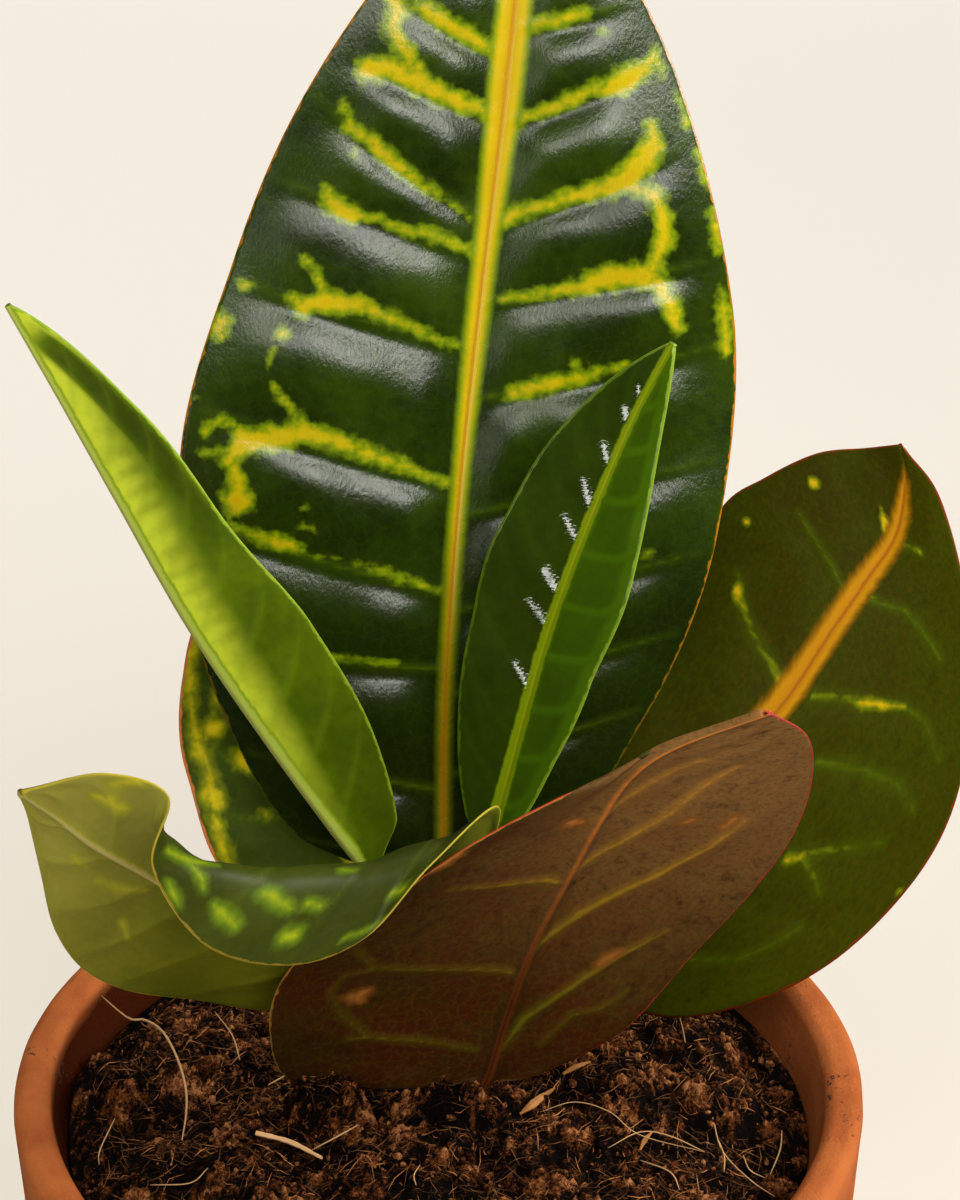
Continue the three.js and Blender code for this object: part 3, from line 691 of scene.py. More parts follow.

# %% [markdown]
# ## From form to mesh
#
# A leaf is laid out as a fine grid over t and s. The sheet is given its thickness, swelled between the
# veins, drawn in along them above and ribbed below, and closed round its margin, so that it is one
# solid skin as a real leaf is. The grid points also carry what the colours need: millimetres out from
# the midrib and in from the margin, how near the next vein is, how deep inside a stroke a place lies,
# and how far it takes painted light and shade.

# %% Laying a leaf flat
SIDES = ["left", "right"]
OUTSIDE = -99.0
CROWDED_ENDS = 0.35
NEAR_PX = 1.5


class Flat:
    """A leaf's sheet on a grid, with its places in millimetres as if it were pressed flat."""

    def __init__(self, name, rows, columns):
        self.name = name
        self.shape = SHAPES[name]
        self.veins = VEINS[name]
        x = np.linspace(0, 1, rows)
        self.t_rows = (1 - CROWDED_ENDS) * x + CROWDED_ENDS * (0.5 - 0.5 * np.cos(np.pi * x))
        near_rib = np.array([0.01, 0.025, 0.045])
        edges = np.concatenate([np.linspace(-1, 1, columns), near_rib, -near_rib, [0]])
        self.s_columns = np.unique(edges.round(6))
        self.t, self.s = np.meshgrid(self.t_rows, self.s_columns, indexing="ij")
        self.sheet = self.shape.blade(self.t, self.s)
        steps = np.linalg.norm(np.diff(self.sheet, axis=1), axis=2)
        run = np.concatenate([np.zeros((rows, 1)), np.cumsum(steps, axis=1)], axis=1)
        centre = int(np.argmin(np.abs(self.s_columns)))
        self.wide = [run[:, centre], run[:, -1] - run[:, centre]]
        self.length = np.linalg.norm(np.diff(self.sheet[:, centre], axis=0), axis=1).sum()
        self.rib, self.up = self.place(self.t, self.s)
        half = np.where(self.s < 0, self.wide[0][:, None], self.wide[1][:, None])
        self.edge = half - np.abs(self.rib)

    def place(self, t, s):
        """Millimetres out from the midrib, to the left negative, and along it."""
        left = np.interp(t, self.t_rows, self.wide[0])
        right = np.interp(t, self.t_rows, self.wide[1])
        return np.where(s < 0, s * left, s * right), t * self.length

    def read(self, pixel):
        """The place of the leaf that the photo shows at a pixel."""
        seen, depth = in_photo(self.sheet)
        away = np.hypot(seen[..., 0] - pixel[0], seen[..., 1] - pixel[1])
        near = away < away.min() + NEAR_PX
        best = np.unravel_index(np.argmin(np.where(near, depth, np.inf)), away.shape)
        return self.rib[best], self.up[best]

    def trace(self, stroke, gain=1.0, loss=0.0):
        """A stroke of the photo as places on the leaf, with its half widths scaled and lessened."""
        return [(*self.read((x, y)), half * gain - loss) for x, y, half in stroke]

    def depth(self, stroke):
        """How deep each place lies inside a stroke of (rib, up, half width): negative outside."""
        stroke = np.asarray(stroke, float)
        if len(stroke) == 1:
            stroke = np.concatenate([stroke, stroke + [1e-3, 0, 0]])
        best = np.full(self.rib.shape, OUTSIDE)
        for (x0, y0, w0), (x1, y1, w1) in zip(stroke[:-1], stroke[1:]):
            dx, dy = x1 - x0, y1 - y0
            forward = (self.rib - x0) * dx + (self.up - y0) * dy
            share = np.clip(forward / (dx * dx + dy * dy + 1e-9), 0, 1)
            away = np.hypot(self.rib - x0 - share * dx, self.up - y0 - share * dy)
            best = np.maximum(best, w0 + (w1 - w0) * share - away)
        return best


def vein_levels(flat, side, out):
    """How far up the leaf each side vein is, at a share of the way out to the margin."""
    starts = np.array(flat.veins[SIDES[side]])
    return starts + np.asarray(flat.veins["climb"][side]) * out + flat.veins.get("hook", 0) * out**6


def vein_path(flat, side, number):
    """A side vein as places (rib, up) from the midrib outwards; side 0 is the left one."""
    out = np.linspace(0, 0.95, 20)
    t = np.array([np.clip(vein_levels(flat, side, share)[number], 0, 1) for share in out])
    rib, up = flat.place(t, out * (side * 2 - 1))
    return np.stack([rib, up, np.zeros_like(rib)], axis=1)


QUILT_DROP = 0.01
NOISE_SLICE = 7.3


def uneven(flat, length):
    """Smooth noise over the leaf, about 0, with lumps of this many millimetres."""
    places = zip(flat.rib.flat, flat.up.flat)
    values = [noise.noise(Vector((x / length, y / length, NOISE_SLICE))) for x, y in places]
    return np.reshape(values, flat.rib.shape)


def quilt(flat):
    """The swelling between the veins: 0 on a vein and 1 at its height, nearer the upper vein."""
    swell = np.zeros(flat.t.shape)
    for column, s in enumerate(flat.s_columns):
        inner = vein_levels(flat, int(s >= 0), abs(s))
        lines = np.array([-0.12, *inner, max(1.1, inner[-1] + 0.05)])
        level = flat.t[:, column] + QUILT_DROP
        phase = np.interp(level, lines, np.arange(len(lines)))
        gap = np.interp(level, (lines[1:] + lines[:-1]) / 2, np.diff(lines))
        swell[:, column] = np.sin(np.pi * (phase - np.floor(phase)) ** 1.5) * np.clip(gap / 0.1, 0.2, 1)
    swell = swell * (1 + 0.5 * uneven(flat, 11)) + 0.3 * uneven(flat, 6)
    return swell * smooth(np.abs(flat.rib), 0.6, 6) * smooth(flat.edge, 0.0, flat.veins["calm"])


trial = Flat("leaf_tall", 60, 40)
print("tall leaf:", round(float(trial.length)), "mm long,", round(float(sum(trial.wide).max())), "mm wide")
first_place = trial.read(STROKES["leaf_tall"][0][0])
print("its first stroke starts at", [round(float(v), 1) for v in first_place])

# %% Meshes from rings
def ring_faces(rings, size):
    """The four-sided faces between closed rings of points that follow one another."""
    first = np.arange(rings - 1)[:, None] * size
    i = np.arange(size)[None, :]
    j = (i + 1) % size
    return np.stack([first + i, first + j, first + size + j, first + size + i], axis=-1).reshape(-1, 4)


def end_faces(rings, size):
    """The flat faces that close the first and the last ring."""
    return [list(range(size))[::-1], list(range((rings - 1) * size, rings * size))]


def turned_over(quads):
    """The same faces looking the other way."""
    return quads[:, [0, 3, 2, 1]].tolist()


def tube_mesh(centres, radii, sides):
    """The points and faces of a closed tube."""
    centres = np.asarray(centres, float)
    run = unit(np.gradient(centres, axis=0))
    across = unit(np.cross(run, np.where(np.abs(run[:, 2:]) > 0.9, [[1.0, 0, 0]], [[0, 0, 1.0]])))
    other = np.cross(run, across)
    angle = np.arange(sides) / sides * 2 * np.pi
    ring = across[:, None] * np.cos(angle)[None, :, None] + other[:, None] * np.sin(angle)[None, :, None]
    points = centres[:, None] + ring * np.asarray(radii, float)[:, None, None]
    rings = len(centres)
    return points.reshape(-1, 3), ring_faces(rings, sides).tolist() + end_faces(rings, sides)


def make_piece(name, points, faces, materials, slot, replaces=None, even=True, values=None, which=None):
    """A named mesh in place, riding on the root body; which picks each face's material, if not the first."""
    mesh = bpy.data.meshes.new(name)
    mesh.from_pydata((np.asarray(points) * MM).tolist(), [], faces)
    for key, numbers in (values or {}).items():
        layer = mesh.attributes.new(key, "FLOAT", "POINT")
        layer.data.foreach_set("value", np.asarray(numbers, np.float32))
    for material in materials:
        mesh.materials.append(material)
    if which is not None:
        mesh.polygons.foreach_set("material_index", np.asarray(which, np.int32))
    mesh.polygons.foreach_set("use_smooth", np.full(len(mesh.polygons), even))
    mesh.update()
    piece = bpy.data.objects.new(name, mesh)
    bpy.context.collection.objects.link(piece)
    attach(piece, "root")
    if replaces:
        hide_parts(replaces)
    print(name, sum(len(face) - 2 for face in faces), "triangles")
    return piece


print("faces between two rings of eight:", len(ring_faces(2, 8)))

# %% What a leaf's grid carries
UNSEEN_HALF = 0.6


def nearest_vein(flat):
    """Millimetres to the nearest side vein as a negative number; above 0 only inside a traced one."""
    nearest = np.full(flat.t.shape, OUTSIDE)
    for line in TRACED_VEINS.get(flat.name, []):
        nearest = np.maximum(nearest, flat.depth(flat.trace(line)))
    if flat.name in TRACED_VEINS:
        return nearest
    for side, here in enumerate([flat.s <= 0.01, flat.s >= -0.01]):
        for number in range(len(flat.veins[SIDES[side]])):
            path = vein_path(flat, side, number)
            nearest = np.maximum(nearest, np.where(here, flat.depth(path), OUTSIDE))
    return nearest


def markings(flat):
    """How deep each place lies inside a streak: a traced one, or one by chance outside the photo."""
    mark = np.full(flat.t.shape, -9.0)
    for side, key in enumerate(SIDES):
        unseen = [k for k, t in enumerate(flat.veins[key]) if t > flat.veins.get("unseen", 1)]
        for number in unseen:
            path = vein_path(flat, side, number)[2 : 8 + int(rng.integers(8))]
            path[:, 2] = UNSEEN_HALF * np.sin(np.linspace(0.3, 2.6, len(path))) * rng.uniform(0.4, 1.4)
            mark = np.maximum(mark, flat.depth(path))
    for stroke in STROKES.get(flat.name, []):
        mark = np.maximum(mark, flat.depth(flat.trace(stroke, BRUSH_GAIN, BRUSH_LOSS[flat.name])))
    return mark


def creased(flat):
    """1 where the skin is creased into small steps that flash, and 0 elsewhere."""
    mask = np.zeros(flat.t.shape)
    for stroke in GLINTS.get(flat.name, []):
        mask = np.maximum(mask, smooth(flat.depth(flat.trace(stroke)), -0.25, 0.1))
    return mask * smooth(-flat.rib, 0.4, 0.8)


def paler(flat, nearest):
    """How far each place takes its leaf's tints for painted light and tone; below 0, painted shade."""
    t, s, rib, edge = flat.t, flat.s, flat.rib, flat.edge
    if flat.name == "leaf_tall":
        # Painted shade: it darkens towards its foot, and its margin loses its orange there.
        return smooth(t, 0.5, 0.1)
    if flat.name == "leaf_front":
        # Painted light and shade: the light grazes its upper left, and its foot lies in painted shade.
        return smooth(t, 0.16, 0.9) * smooth(s - 1.1 * t, 0.55, -0.7) - 0.55 * smooth(t, 0.3, 0.1)
    if flat.name == "leaf_right":
        # Painted shade: its left half lies in the tall leaf's shadow, so its right half is lighter.
        return 0.6 * smooth(s, -0.2, 1.0)
    if flat.name == "leaf_curled":
        return smooth(t, 0.45, 1.0)
    if flat.name == "young_right":
        # Painted light: its right half is lit lighter than its left; darker cells lie between its veins.
        cell = smooth(-nearest, 0.1, 0.8) * smooth(edge, 1.0, 2.0) * smooth(rib, 0.7, 1.4)
        return smooth(rib, -0.2, 0.6) * (1 - 0.5 * cell)
    if flat.name == "young_left":
        # Painted light: light shines through it along the midrib, whitish as a sheen and barred by veins.
        # Its near margin is folded over, and painted shade darkens one side of its foot.
        light = smooth(np.abs(rib), 6, 0.8) * smooth(t, 0.05, 0.4)
        strip = smooth(edge, 0.3, 0.9) * smooth(edge, 3.6, 2.2) * smooth(t, 0.55, 0.7) * smooth(t, 0.98, 0.9)
        strip = strip * (s < 0)
        rungs = np.sin(flat.up * 2.4 + 3 * uneven(flat, 9)) * smooth(np.abs(rib), 5, 2.5)
        rungs = rungs * smooth(t, 0.35, 0.5) * smooth(t, 0.85, 0.7)
        shade = 0.5 * smooth(t, 0.45, 0.05) * smooth(-rib, 1.5, 5)
        return light * (1 - strip) + 0.15 * rungs - 0.7 * strip - shade
    return np.zeros(t.shape)


print("streaks by chance on:", [name for name, leaf in VEINS.items() if "unseen" in leaf])

# %% Building a leaf's skin
THICK, THIN_MARGIN = 0.45, 0.65
RIDGE, RIDGE_ABOVE, RIDGE_BELOW = 0.42, 0.08, 0.15
CHANNEL, CHANNEL_HALF = 0.16, 0.35
KEEL, KEEL_HALF = 0.8, 0.9
STALK_RINGS = 6
STALK_DROP, STALK_REACH = 2.5, 0.8
REACH = 0.004
STEM_PATH = [[2.6, 0.4, 58], [2.4, 0.3, 86], [1.2, 0.4, 102], [0.3, 0.8, 117]]


def stem_at(height):
    """The middle of the stem at a height."""
    x, y, z = spline(STEM_PATH, np.linspace(0, 1, 60)).T
    return np.array([np.interp(height, z, x), np.interp(height, z, y), height])


def leaf_sides(flat):
    """The points of the leaf's upper and under side, and the fields that its colours use."""
    blade, t, s, rib = flat.shape.blade, flat.t, flat.s, flat.rib
    ahead = blade(np.minimum(t + REACH, 1), s) - blade(np.maximum(t - REACH, 0), s)
    aside = blade(t, np.minimum(s + REACH, 1)) - blade(t, np.maximum(s - REACH, -1))
    out = unit(np.cross(aside, ahead))
    nearest = nearest_vein(flat)
    fade = smooth(flat.edge, 0.3, 5) * (1 - 0.5 * smooth(np.abs(s), 0.5, 1)) * smooth(np.abs(rib), 0.2, 1.2)
    if flat.veins.get("faint_left"):
        fade = fade * smooth(rib, -0.5, 0.5)
    ridge = np.exp(-((np.minimum(nearest, 0) / RIDGE) ** 2)) * fade
    swell = quilt(flat) * flat.veins["swell"]
    thick = THICK * (1 - THIN_MARGIN * np.abs(s) ** 30)
    keel = flat.shape.midrib * (1 - 0.75 * t) * KEEL * np.exp(-((rib / KEEL_HALF) ** 2))
    channel = CHANNEL * np.exp(-((rib / CHANNEL_HALF) ** 2))
    top = flat.sheet + out * (thick / 2 + swell + RIDGE_ABOVE * ridge - channel)[..., None]
    under = flat.sheet + out * (-thick / 2 + swell - RIDGE_BELOW * ridge - keel)[..., None]
    # The field pale carries painted light and shade, and a few of the leaves' own changes of tone.
    fields = {"rib": rib, "edge": flat.edge, "up": flat.up, "mark": markings(flat), "glint": creased(flat),
              "vein": np.maximum(nearest, -2) - 0.4 * (1 - fade),
              "band": along(flat.veins["band"], t) - np.abs(rib), "pale": paler(flat, nearest)}
    return top, under, fields


def with_stalk(grid):
    """A grid with its first row repeated for the stalk's rings."""
    return np.concatenate([np.repeat(grid[:1], STALK_RINGS, axis=0), grid])


def stalk_blend(flat, top, under):
    """Draws the foot of the blade together into a round stalk, and adds the stalk's own rings."""
    shape = flat.shape
    count = len(flat.s_columns)
    angle = np.pi * (1 - (np.arange(count) + 0.5) / count)
    stalk_rows = np.arange(STALK_RINGS) / STALK_RINGS * shape.stalk
    u_rows = np.concatenate([stalk_rows, shape.stalk + (1 - shape.stalk) * flat.t_rows])
    t_rows = np.concatenate([np.zeros(STALK_RINGS), flat.t_rows])
    centre, normal, across = [part[:, None] for part in shape.frame(u_rows)]
    wide = across * np.cos(angle)[None, :, None]
    high = normal * np.sin(angle)[None, :, None]
    share = smooth(t_rows, 0, 0.08)[:, None, None]
    top = (centre + (wide + high) * shape.midrib) * (1 - share) + with_stalk(top) * share
    under = (centre + (wide - high) * shape.midrib) * (1 - share) + with_stalk(under) * share
    return top, under


def leaf_piece(name, rows, columns, slot, upper, lower):
    """Makes one leaf as a closed mesh with its colours' fields, in place of its CAD node."""
    flat = Flat(name, rows, columns)
    top, under, fields = leaf_sides(flat)
    top, under = stalk_blend(flat, top, under)
    rings = np.concatenate([top, under[:, ::-1]], axis=1)
    joint = stem_at(rings[0, :, 2].mean() - STALK_DROP)
    root = rings[:1] + (joint - rings[:1].mean(axis=1)) * STALK_REACH
    rings = np.concatenate([root, rings])
    count, size = rings.shape[:2]
    points = np.concatenate([rings.reshape(-1, 3), [rings[0].mean(axis=0), rings[-1].mean(axis=0)]])
    foot = count * size
    tip, last = foot + 1, foot - size
    faces = ring_faces(count, size).tolist()
    faces += [[foot, (k + 1) % size, k] for k in range(size)]
    faces += [[tip, last + k, last + (k + 1) % size] for k in range(size)]
    values = {}
    for key, grid in fields.items():
        grid = with_stalk(grid)
        ring = np.concatenate([grid, grid[:, ::-1]], axis=1)
        numbers = np.concatenate([ring[:1], ring]).reshape(-1)
        values[key] = np.concatenate([numbers, numbers[[0, -1]]])
    is_under = np.tile(np.arange(size) >= size // 2, count - 1)
    which = np.concatenate([is_under, np.zeros(2 * size, bool)])
    make_piece(name + "_skin", points, faces, [upper, lower], slot, name, values=values, which=which)


print("stem at 100 mm:", stem_at(100).round(1))

# %% [markdown]
# ## The skin of a leaf
#
# Looked at closely, a croton leaf is a deep green ground that shifts in tone, a fine net of small
# veins, side veins a little lighter, streaks whose yellow bleeds through yellow-green into the ground,
# a coloured band along its midrib with a thin line in its middle, and a thin red or orange margin. On
# some leaves light and shade are painted in as well, as tints they pass to along a field. All of it
# hangs on the fields that the mesh carries, so it bends with the leaf, and noise in millimetres of the
# leaf roughens the strokes' edges. One function makes them all, because the leaves differ only in
# their colours and gloss.

# %% Leaf material
def blend(one, other, share):
    """A colour between two."""
    return tuple(a + (b - a) * share for a, b in zip(one, other))


YELLOW = (0.56, 0.43, 0.002)
AMBER = (0.62, 0.34, 0.003)
HALO = (0.19, 0.28, 0.001)
BLACK = (0, 0, 0)
LEAF_FIELDS = ["rib", "up", "edge", "band", "vein", "mark", "pale", "glint"]


def leaf_skin(name, deep, fresh, vein_tint, band_tint, line_tint, margin_tint, light_and_tone_tints=None, halo=HALO,
              band_halo=None, mark_tint=YELLOW, ripe=AMBER, right_margin=None, margin=0.35, rough=0.4,
              coat=0.0, coat_rough=0.2, shine=0.3, net=0.1, wrinkle=0.025, band_edge=0.2, feather=0.5,
              grit=0.0, speckle=0.0, mottle=0.0, glow=0.0, thready=0.5, fine=0.5, fray=1.0, soft=1.0):
    """The material of one side of a leaf, and the tints that it passes to for painted light and tone."""
    material, start = blank(name)
    light_and_tone_tints = light_and_tone_tints or {}
    rib, up, edge, band, vein, mark, pale, glint = [attribute(start, field) for field in LEAF_FIELDS]
    place = start.node("CombineXYZ", {}, {0: rib, 1: up, 2: 0.0})
    slant = start.node("CombineXYZ", {}, {0: up - abs(rib) * 0.8, 1: rib * 0.3, 2: 0.0})
    drift = place.cloud(0.09, 3.0)
    grain = place.cloud(1.7, 4.0, 0.65)
    blot = place.cloud(0.7, 2.0, 0.5)
    hair = slant.cloud(1.0, 4.0, 0.7)
    turned = pale + (drift * 0.8 + blot * 0.5) * pale

    def either(key, first):
        """A colour that passes to the leaf's tint of that name for painted light and tone, if it has one."""
        return turned.mix(first, light_and_tone_tints[key]) if key in light_and_tone_tints else first

    # The ground, with its painted light and shade, fine net, grit and blotches.
    ground = either("ground", (drift + blot * 0.3).step(-0.2, 0.22).mix(deep, fresh))
    # Painted shade: where pale is below 0 the ground darkens towards black.
    ground = (0 - pale).mix(ground, blend(deep, BLACK, 0.6))
    bent = place.node("VectorMath", {"operation": "ADD"}, {0: place, 1: place.sway(0.5, 1.4)})
    fine_net = 1 - bent.cells(0.6).step(0.0, 0.12)
    ground = (fine_net * net).mix(ground, vein_tint)
    ground = (grain.step(0.05, -0.15) * grit).mix(ground, blend(deep, BLACK, 0.5))
    ground = (grain.step(0.05, 0.25) * speckle).mix(ground, margin_tint)
    blotches = (place.cloud(0.4, 4.0, 0.75) + drift * 0.3).step(0.0, 0.25)
    ground = (blotches * mottle).mix(ground, blend(deep, BLACK, 0.6))
    # Side veins: a soft halo, then a thin line.
    thread_tint = either("vein", vein_tint)
    ground = (vein.step(-1.3, 0.0) * thready * 0.4).mix(ground, thread_tint)
    ground = ((vein + blot * 0.4).step(-fine, 0.05) * thready).mix(ground, thread_tint)
    # Streaks, whose yellow bleeds into the ground through the halo colour.
    ragged = mark + (blot * 2.0 + grain * 0.3) * fray
    colour = ragged.step(-1.1 * soft, -0.15 * soft).mix(ground, halo)
    colour = ragged.step(-0.45 * soft, 0.5 * soft).mix(colour, mark_tint)
    colour = ragged.step(0.5 * soft, 1.6 * soft).mix(colour, ripe)
    # The band along the midrib, and the line in its middle.
    ribbon = band + (blot * 0.4 + hair) * feather
    colour = ribbon.step(-band_edge * 2.2, -band_edge * 0.3).mix(colour, either("halo", band_halo or halo))
    colour = ribbon.step(-band_edge, band_edge).mix(colour, either("band", band_tint))
    colour = (band.step(0.2, 1.6) * 0.45).mix(colour, line_tint)
    centre_line = (1 - (abs(rib) + grain * 0.3).step(0.08, 0.3)) * (band + grain).step(-0.1, 0.3)
    colour = centre_line.mix(colour, either("line", line_tint))
    # The margin, and then the relief: crinkled skin and creases that flash.
    rim = 1 - (edge + blot * 0.8).step(margin * 0.3, margin)
    rim_tint = rib.step(-0.5, 0.5).mix(margin_tint, right_margin or margin_tint)
    colour = rim.mix(colour, either("margin", rim_tint))
    crinkle = place.stretch(1.0, 0.6, 1.0).cloud(2.4, 4.0, 0.6, 0.2)
    facets = start.math("FRACT", rib * GLINT_LEAN[0] + up * GLINT_LEAN[1] + blot * 0.4) * GLINT_STEP
    height = crinkle * wrinkle * (1 - ribbon.step(-0.5, 0.5) * 0.8) + facets * glint
    gloss = place.cloud(0.5, 4.0, 0.6).step(-0.3, 0.3) * 0.1 + rough
    surface(start, colour, gloss, height, depth=MM, Specular_IOR_Level=shine, Coat_Weight=coat,
            Coat_Roughness=coat_rough, Subsurface_Weight=glow, Subsurface_Radius=(1.0, 1.0, 0.3),
            Subsurface_Scale=MM)
    return material


print("leaf skin function ready")

# %% The skins of the seven leaves
SKINS = {
    "tall_upper": dict(
        deep=(0.01, 0.021, 0.0004), fresh=(0.026, 0.053, 0.0004),
        vein_tint=(0.09, 0.16, 0.002), band_tint=(0.62, 0.45, 0.003), line_tint=(0.55, 0.27, 0.006),
        margin_tint=(0.4, 0.15, 0.005),
        light_and_tone_tints=dict(ground=(0.008, 0.016, 0.0004), band=(0.42, 0.25, 0.001), line=(0.4, 0.18, 0.003),
                    halo=(0.1, 0.12, 0.001), margin=(0.05, 0.06, 0.002)),
        margin=0.28, rough=0.2, shine=0.46, net=0.04, wrinkle=0.065, band_edge=0.45, feather=0.4, thready=0.4,
        soft=1.1),
    "dark_under": dict(
        deep=(0.03, 0.05, 0.004), fresh=(0.05, 0.08, 0.006),
        vein_tint=(0.16, 0.16, 0.015), halo=(0.12, 0.16, 0.01), mark_tint=(0.5, 0.4, 0.02),
        ripe=(0.5, 0.3, 0.02), band_tint=(0.45, 0.34, 0.03), line_tint=(0.45, 0.24, 0.03),
        margin_tint=(0.3, 0.12, 0.01), rough=0.45, coat=0.05, net=0.3),
    "behind_upper": dict(
        deep=(0.02, 0.032, 0.001), fresh=(0.03, 0.048, 0.001),
        vein_tint=(0.06, 0.1, 0.002), halo=(0.13, 0.15, 0.001), mark_tint=(0.46, 0.36, 0.003),
        ripe=(0.5, 0.3, 0.004), band_tint=(0.2, 0.2, 0.005), line_tint=(0.3, 0.22, 0.01),
        margin_tint=(0.5, 0.15, 0.04), margin=0.45, net=0.06, rough=0.5, shine=0.05, soft=1.3),
    "right_upper": dict(
        deep=(0.034, 0.03, 0.0002), fresh=(0.037, 0.046, 0.0002),
        vein_tint=(0.09, 0.15, 0.002), halo=(0.14, 0.17, 0.002), mark_tint=(0.6, 0.4, 0.004),
        band_tint=(0.5, 0.22, 0.004), band_halo=(0.2, 0.09, 0.001), line_tint=(0.36, 0.12, 0.006),
        margin_tint=(0.16, 0.025, 0.004), light_and_tone_tints=dict(ground=(0.05, 0.06, 0.0002)), net=0.05, grit=0.25,
        speckle=0.35, mottle=0.35, rough=0.5, shine=0.03, wrinkle=0.015, band_edge=0.45, feather=0.9,
        fine=0.36, fray=0.4, soft=0.55),
    "front_under": dict(
        deep=(0.068, 0.013, 0.001), fresh=(0.046, 0.028, 0.001),
        vein_tint=(0.14, 0.13, 0.003), halo=(0.2, 0.07, 0.008), mark_tint=(0.46, 0.16, 0.03),
        ripe=(0.5, 0.18, 0.05), band_tint=(0.07, 0.01, 0.001), line_tint=(0.05, 0.006, 0.002),
        margin_tint=(0.27, 0.025, 0.012), right_margin=(0.34, 0.2, 0.02),
        light_and_tone_tints=dict(ground=(0.22, 0.105, 0.026), vein=(0.6, 0.26, 0.01), band=(0.7, 0.22, 0.012),
                    line=(0.5, 0.1, 0.01), halo=(0.3, 0.13, 0.03)),
        band_halo=(0.1, 0.025, 0.002), margin=0.25, rough=0.5, shine=0.2, net=0.1, grit=0.35, speckle=0.35,
        mottle=0.6, wrinkle=0.045, feather=0.35, thready=0.65, fine=0.34, fray=0.7, soft=1.2),
    "front_upper": dict(
        deep=(0.03, 0.035, 0.001), fresh=(0.06, 0.05, 0.002),
        vein_tint=(0.12, 0.12, 0.005), mark_tint=(0.62, 0.36, 0.006), coat=0.3,
        band_tint=(0.6, 0.25, 0.01), line_tint=(0.5, 0.1, 0.01), margin_tint=(0.5, 0.04, 0.02)),
    "curled_under": dict(
        deep=(0.12, 0.14, 0.003), fresh=(0.18, 0.19, 0.005),
        vein_tint=(0.24, 0.26, 0.01), halo=(0.28, 0.28, 0.01), mark_tint=(0.44, 0.4, 0.01),
        ripe=(0.5, 0.42, 0.02), band_tint=(0.38, 0.34, 0.09), line_tint=(0.4, 0.34, 0.1),
        margin_tint=(0.36, 0.29, 0.02), light_and_tone_tints=dict(ground=(0.28, 0.26, 0.03)), margin=0.3, rough=0.5,
        shine=0.25, glow=0.1, thready=0.25, fine=0.6, fray=0.6, soft=1.5),
    "curled_upper": dict(
        deep=(0.024, 0.031, 0.0015), fresh=(0.036, 0.047, 0.002),
        vein_tint=(0.06, 0.085, 0.005), halo=(0.08, 0.13, 0.003), mark_tint=(0.25, 0.3, 0.003),
        ripe=(0.4, 0.4, 0.003), band_tint=(0.45, 0.35, 0.005), line_tint=(0.55, 0.3, 0.01),
        margin_tint=(0.2, 0.14, 0.012), margin=0.38, net=0.04, rough=0.45, shine=0.1, coat=0.04,
        coat_rough=0.35, fray=0.5, soft=1.4),
    "young_upper": dict(
        deep=(0.018, 0.034, 0.001), fresh=(0.028, 0.052, 0.001),
        vein_tint=(0.06, 0.13, 0.002), band_tint=(0.2, 0.27, 0.003), line_tint=(0.26, 0.32, 0.004),
        margin_tint=(0.07, 0.13, 0.002), right_margin=(0.2, 0.32, 0.02),
        light_and_tone_tints=dict(ground=(0.06, 0.135, 0.001)), rough=0.16, shine=0.7, net=0.04, glow=0.1, wrinkle=0.012,
        thready=0.35, fine=0.5),
    "young_under": dict(
        deep=(0.06, 0.105, 0.0006), fresh=(0.11, 0.17, 0.001),
        vein_tint=(0.18, 0.27, 0.005), band_tint=(0.34, 0.42, 0.05), line_tint=(0.4, 0.46, 0.08),
        margin_tint=(0.2, 0.3, 0.01), light_and_tone_tints=dict(ground=(0.5, 0.58, 0.03)), rough=0.4, shine=0.15,
        coat=0.05, coat_rough=0.3, net=0.03, glow=0.2, wrinkle=0.01, thready=0.2, fine=0.8),
}
skins = {name: leaf_skin(name, **look) for name, look in SKINS.items()}
print("skins:", list(skins))

# %% The seven leaves: rows and columns of the grid, slot, upper and under skin
LEAVES = {
    "leaf_tall": (260, 104, "dark_leaf", "tall_upper", "dark_under"),
    "leaf_behind": (110, 56, "dark_leaf", "behind_upper", "dark_under"),
    "leaf_right": (180, 90, "dark_leaf", "right_upper", "dark_under"),
    "leaf_front": (230, 108, "bronze_leaf", "front_upper", "front_under"),
    "leaf_curled": (200, 100, "olive_leaf", "curled_upper", "curled_under"),
    "young_left": (160, 54, "young_leaf", "young_upper", "young_under"),
    "young_right": (280, 54, "young_leaf", "young_upper", "young_under"),
}
for name, (rows, columns, slot, upper, lower) in LEAVES.items():
    leaf_piece(name, rows, columns, slot, skins[upper], skins[lower])

# %% [markdown]
# ## Stem
#
# Only a finger's width of stem stands between the peat and the leaf stalks. It is green turning
# brown, ringed by the scars of fallen leaves, and ends in a pointed bud. It is a tube round the CAD
# source's path, with its radius swollen a little at each scar.

# %% Stem
STEM_RADIUS, STEM_TOP_RADIUS, STEM_SIDES = 3.1, 2.2, 40
SCARS = [70, 79, 88, 93, 98, 102, 106, 110, 113]
SCAR_SWELL, SCAR_HALF = 0.05, 0.5
BUD_LENGTH, BUD_LEAN = 8, 3.2

bark, start = blank("bark")
fibre = object_mm(start, 250).cloud(1.2, 5.0, 0.65)
bark_colour = fibre.step(-0.2, 0.2).mix((0.07, 0.045, 0.02), (0.12, 0.14, 0.035))
surface(start, bark_colour, 0.55, fibre, depth=0.0004)

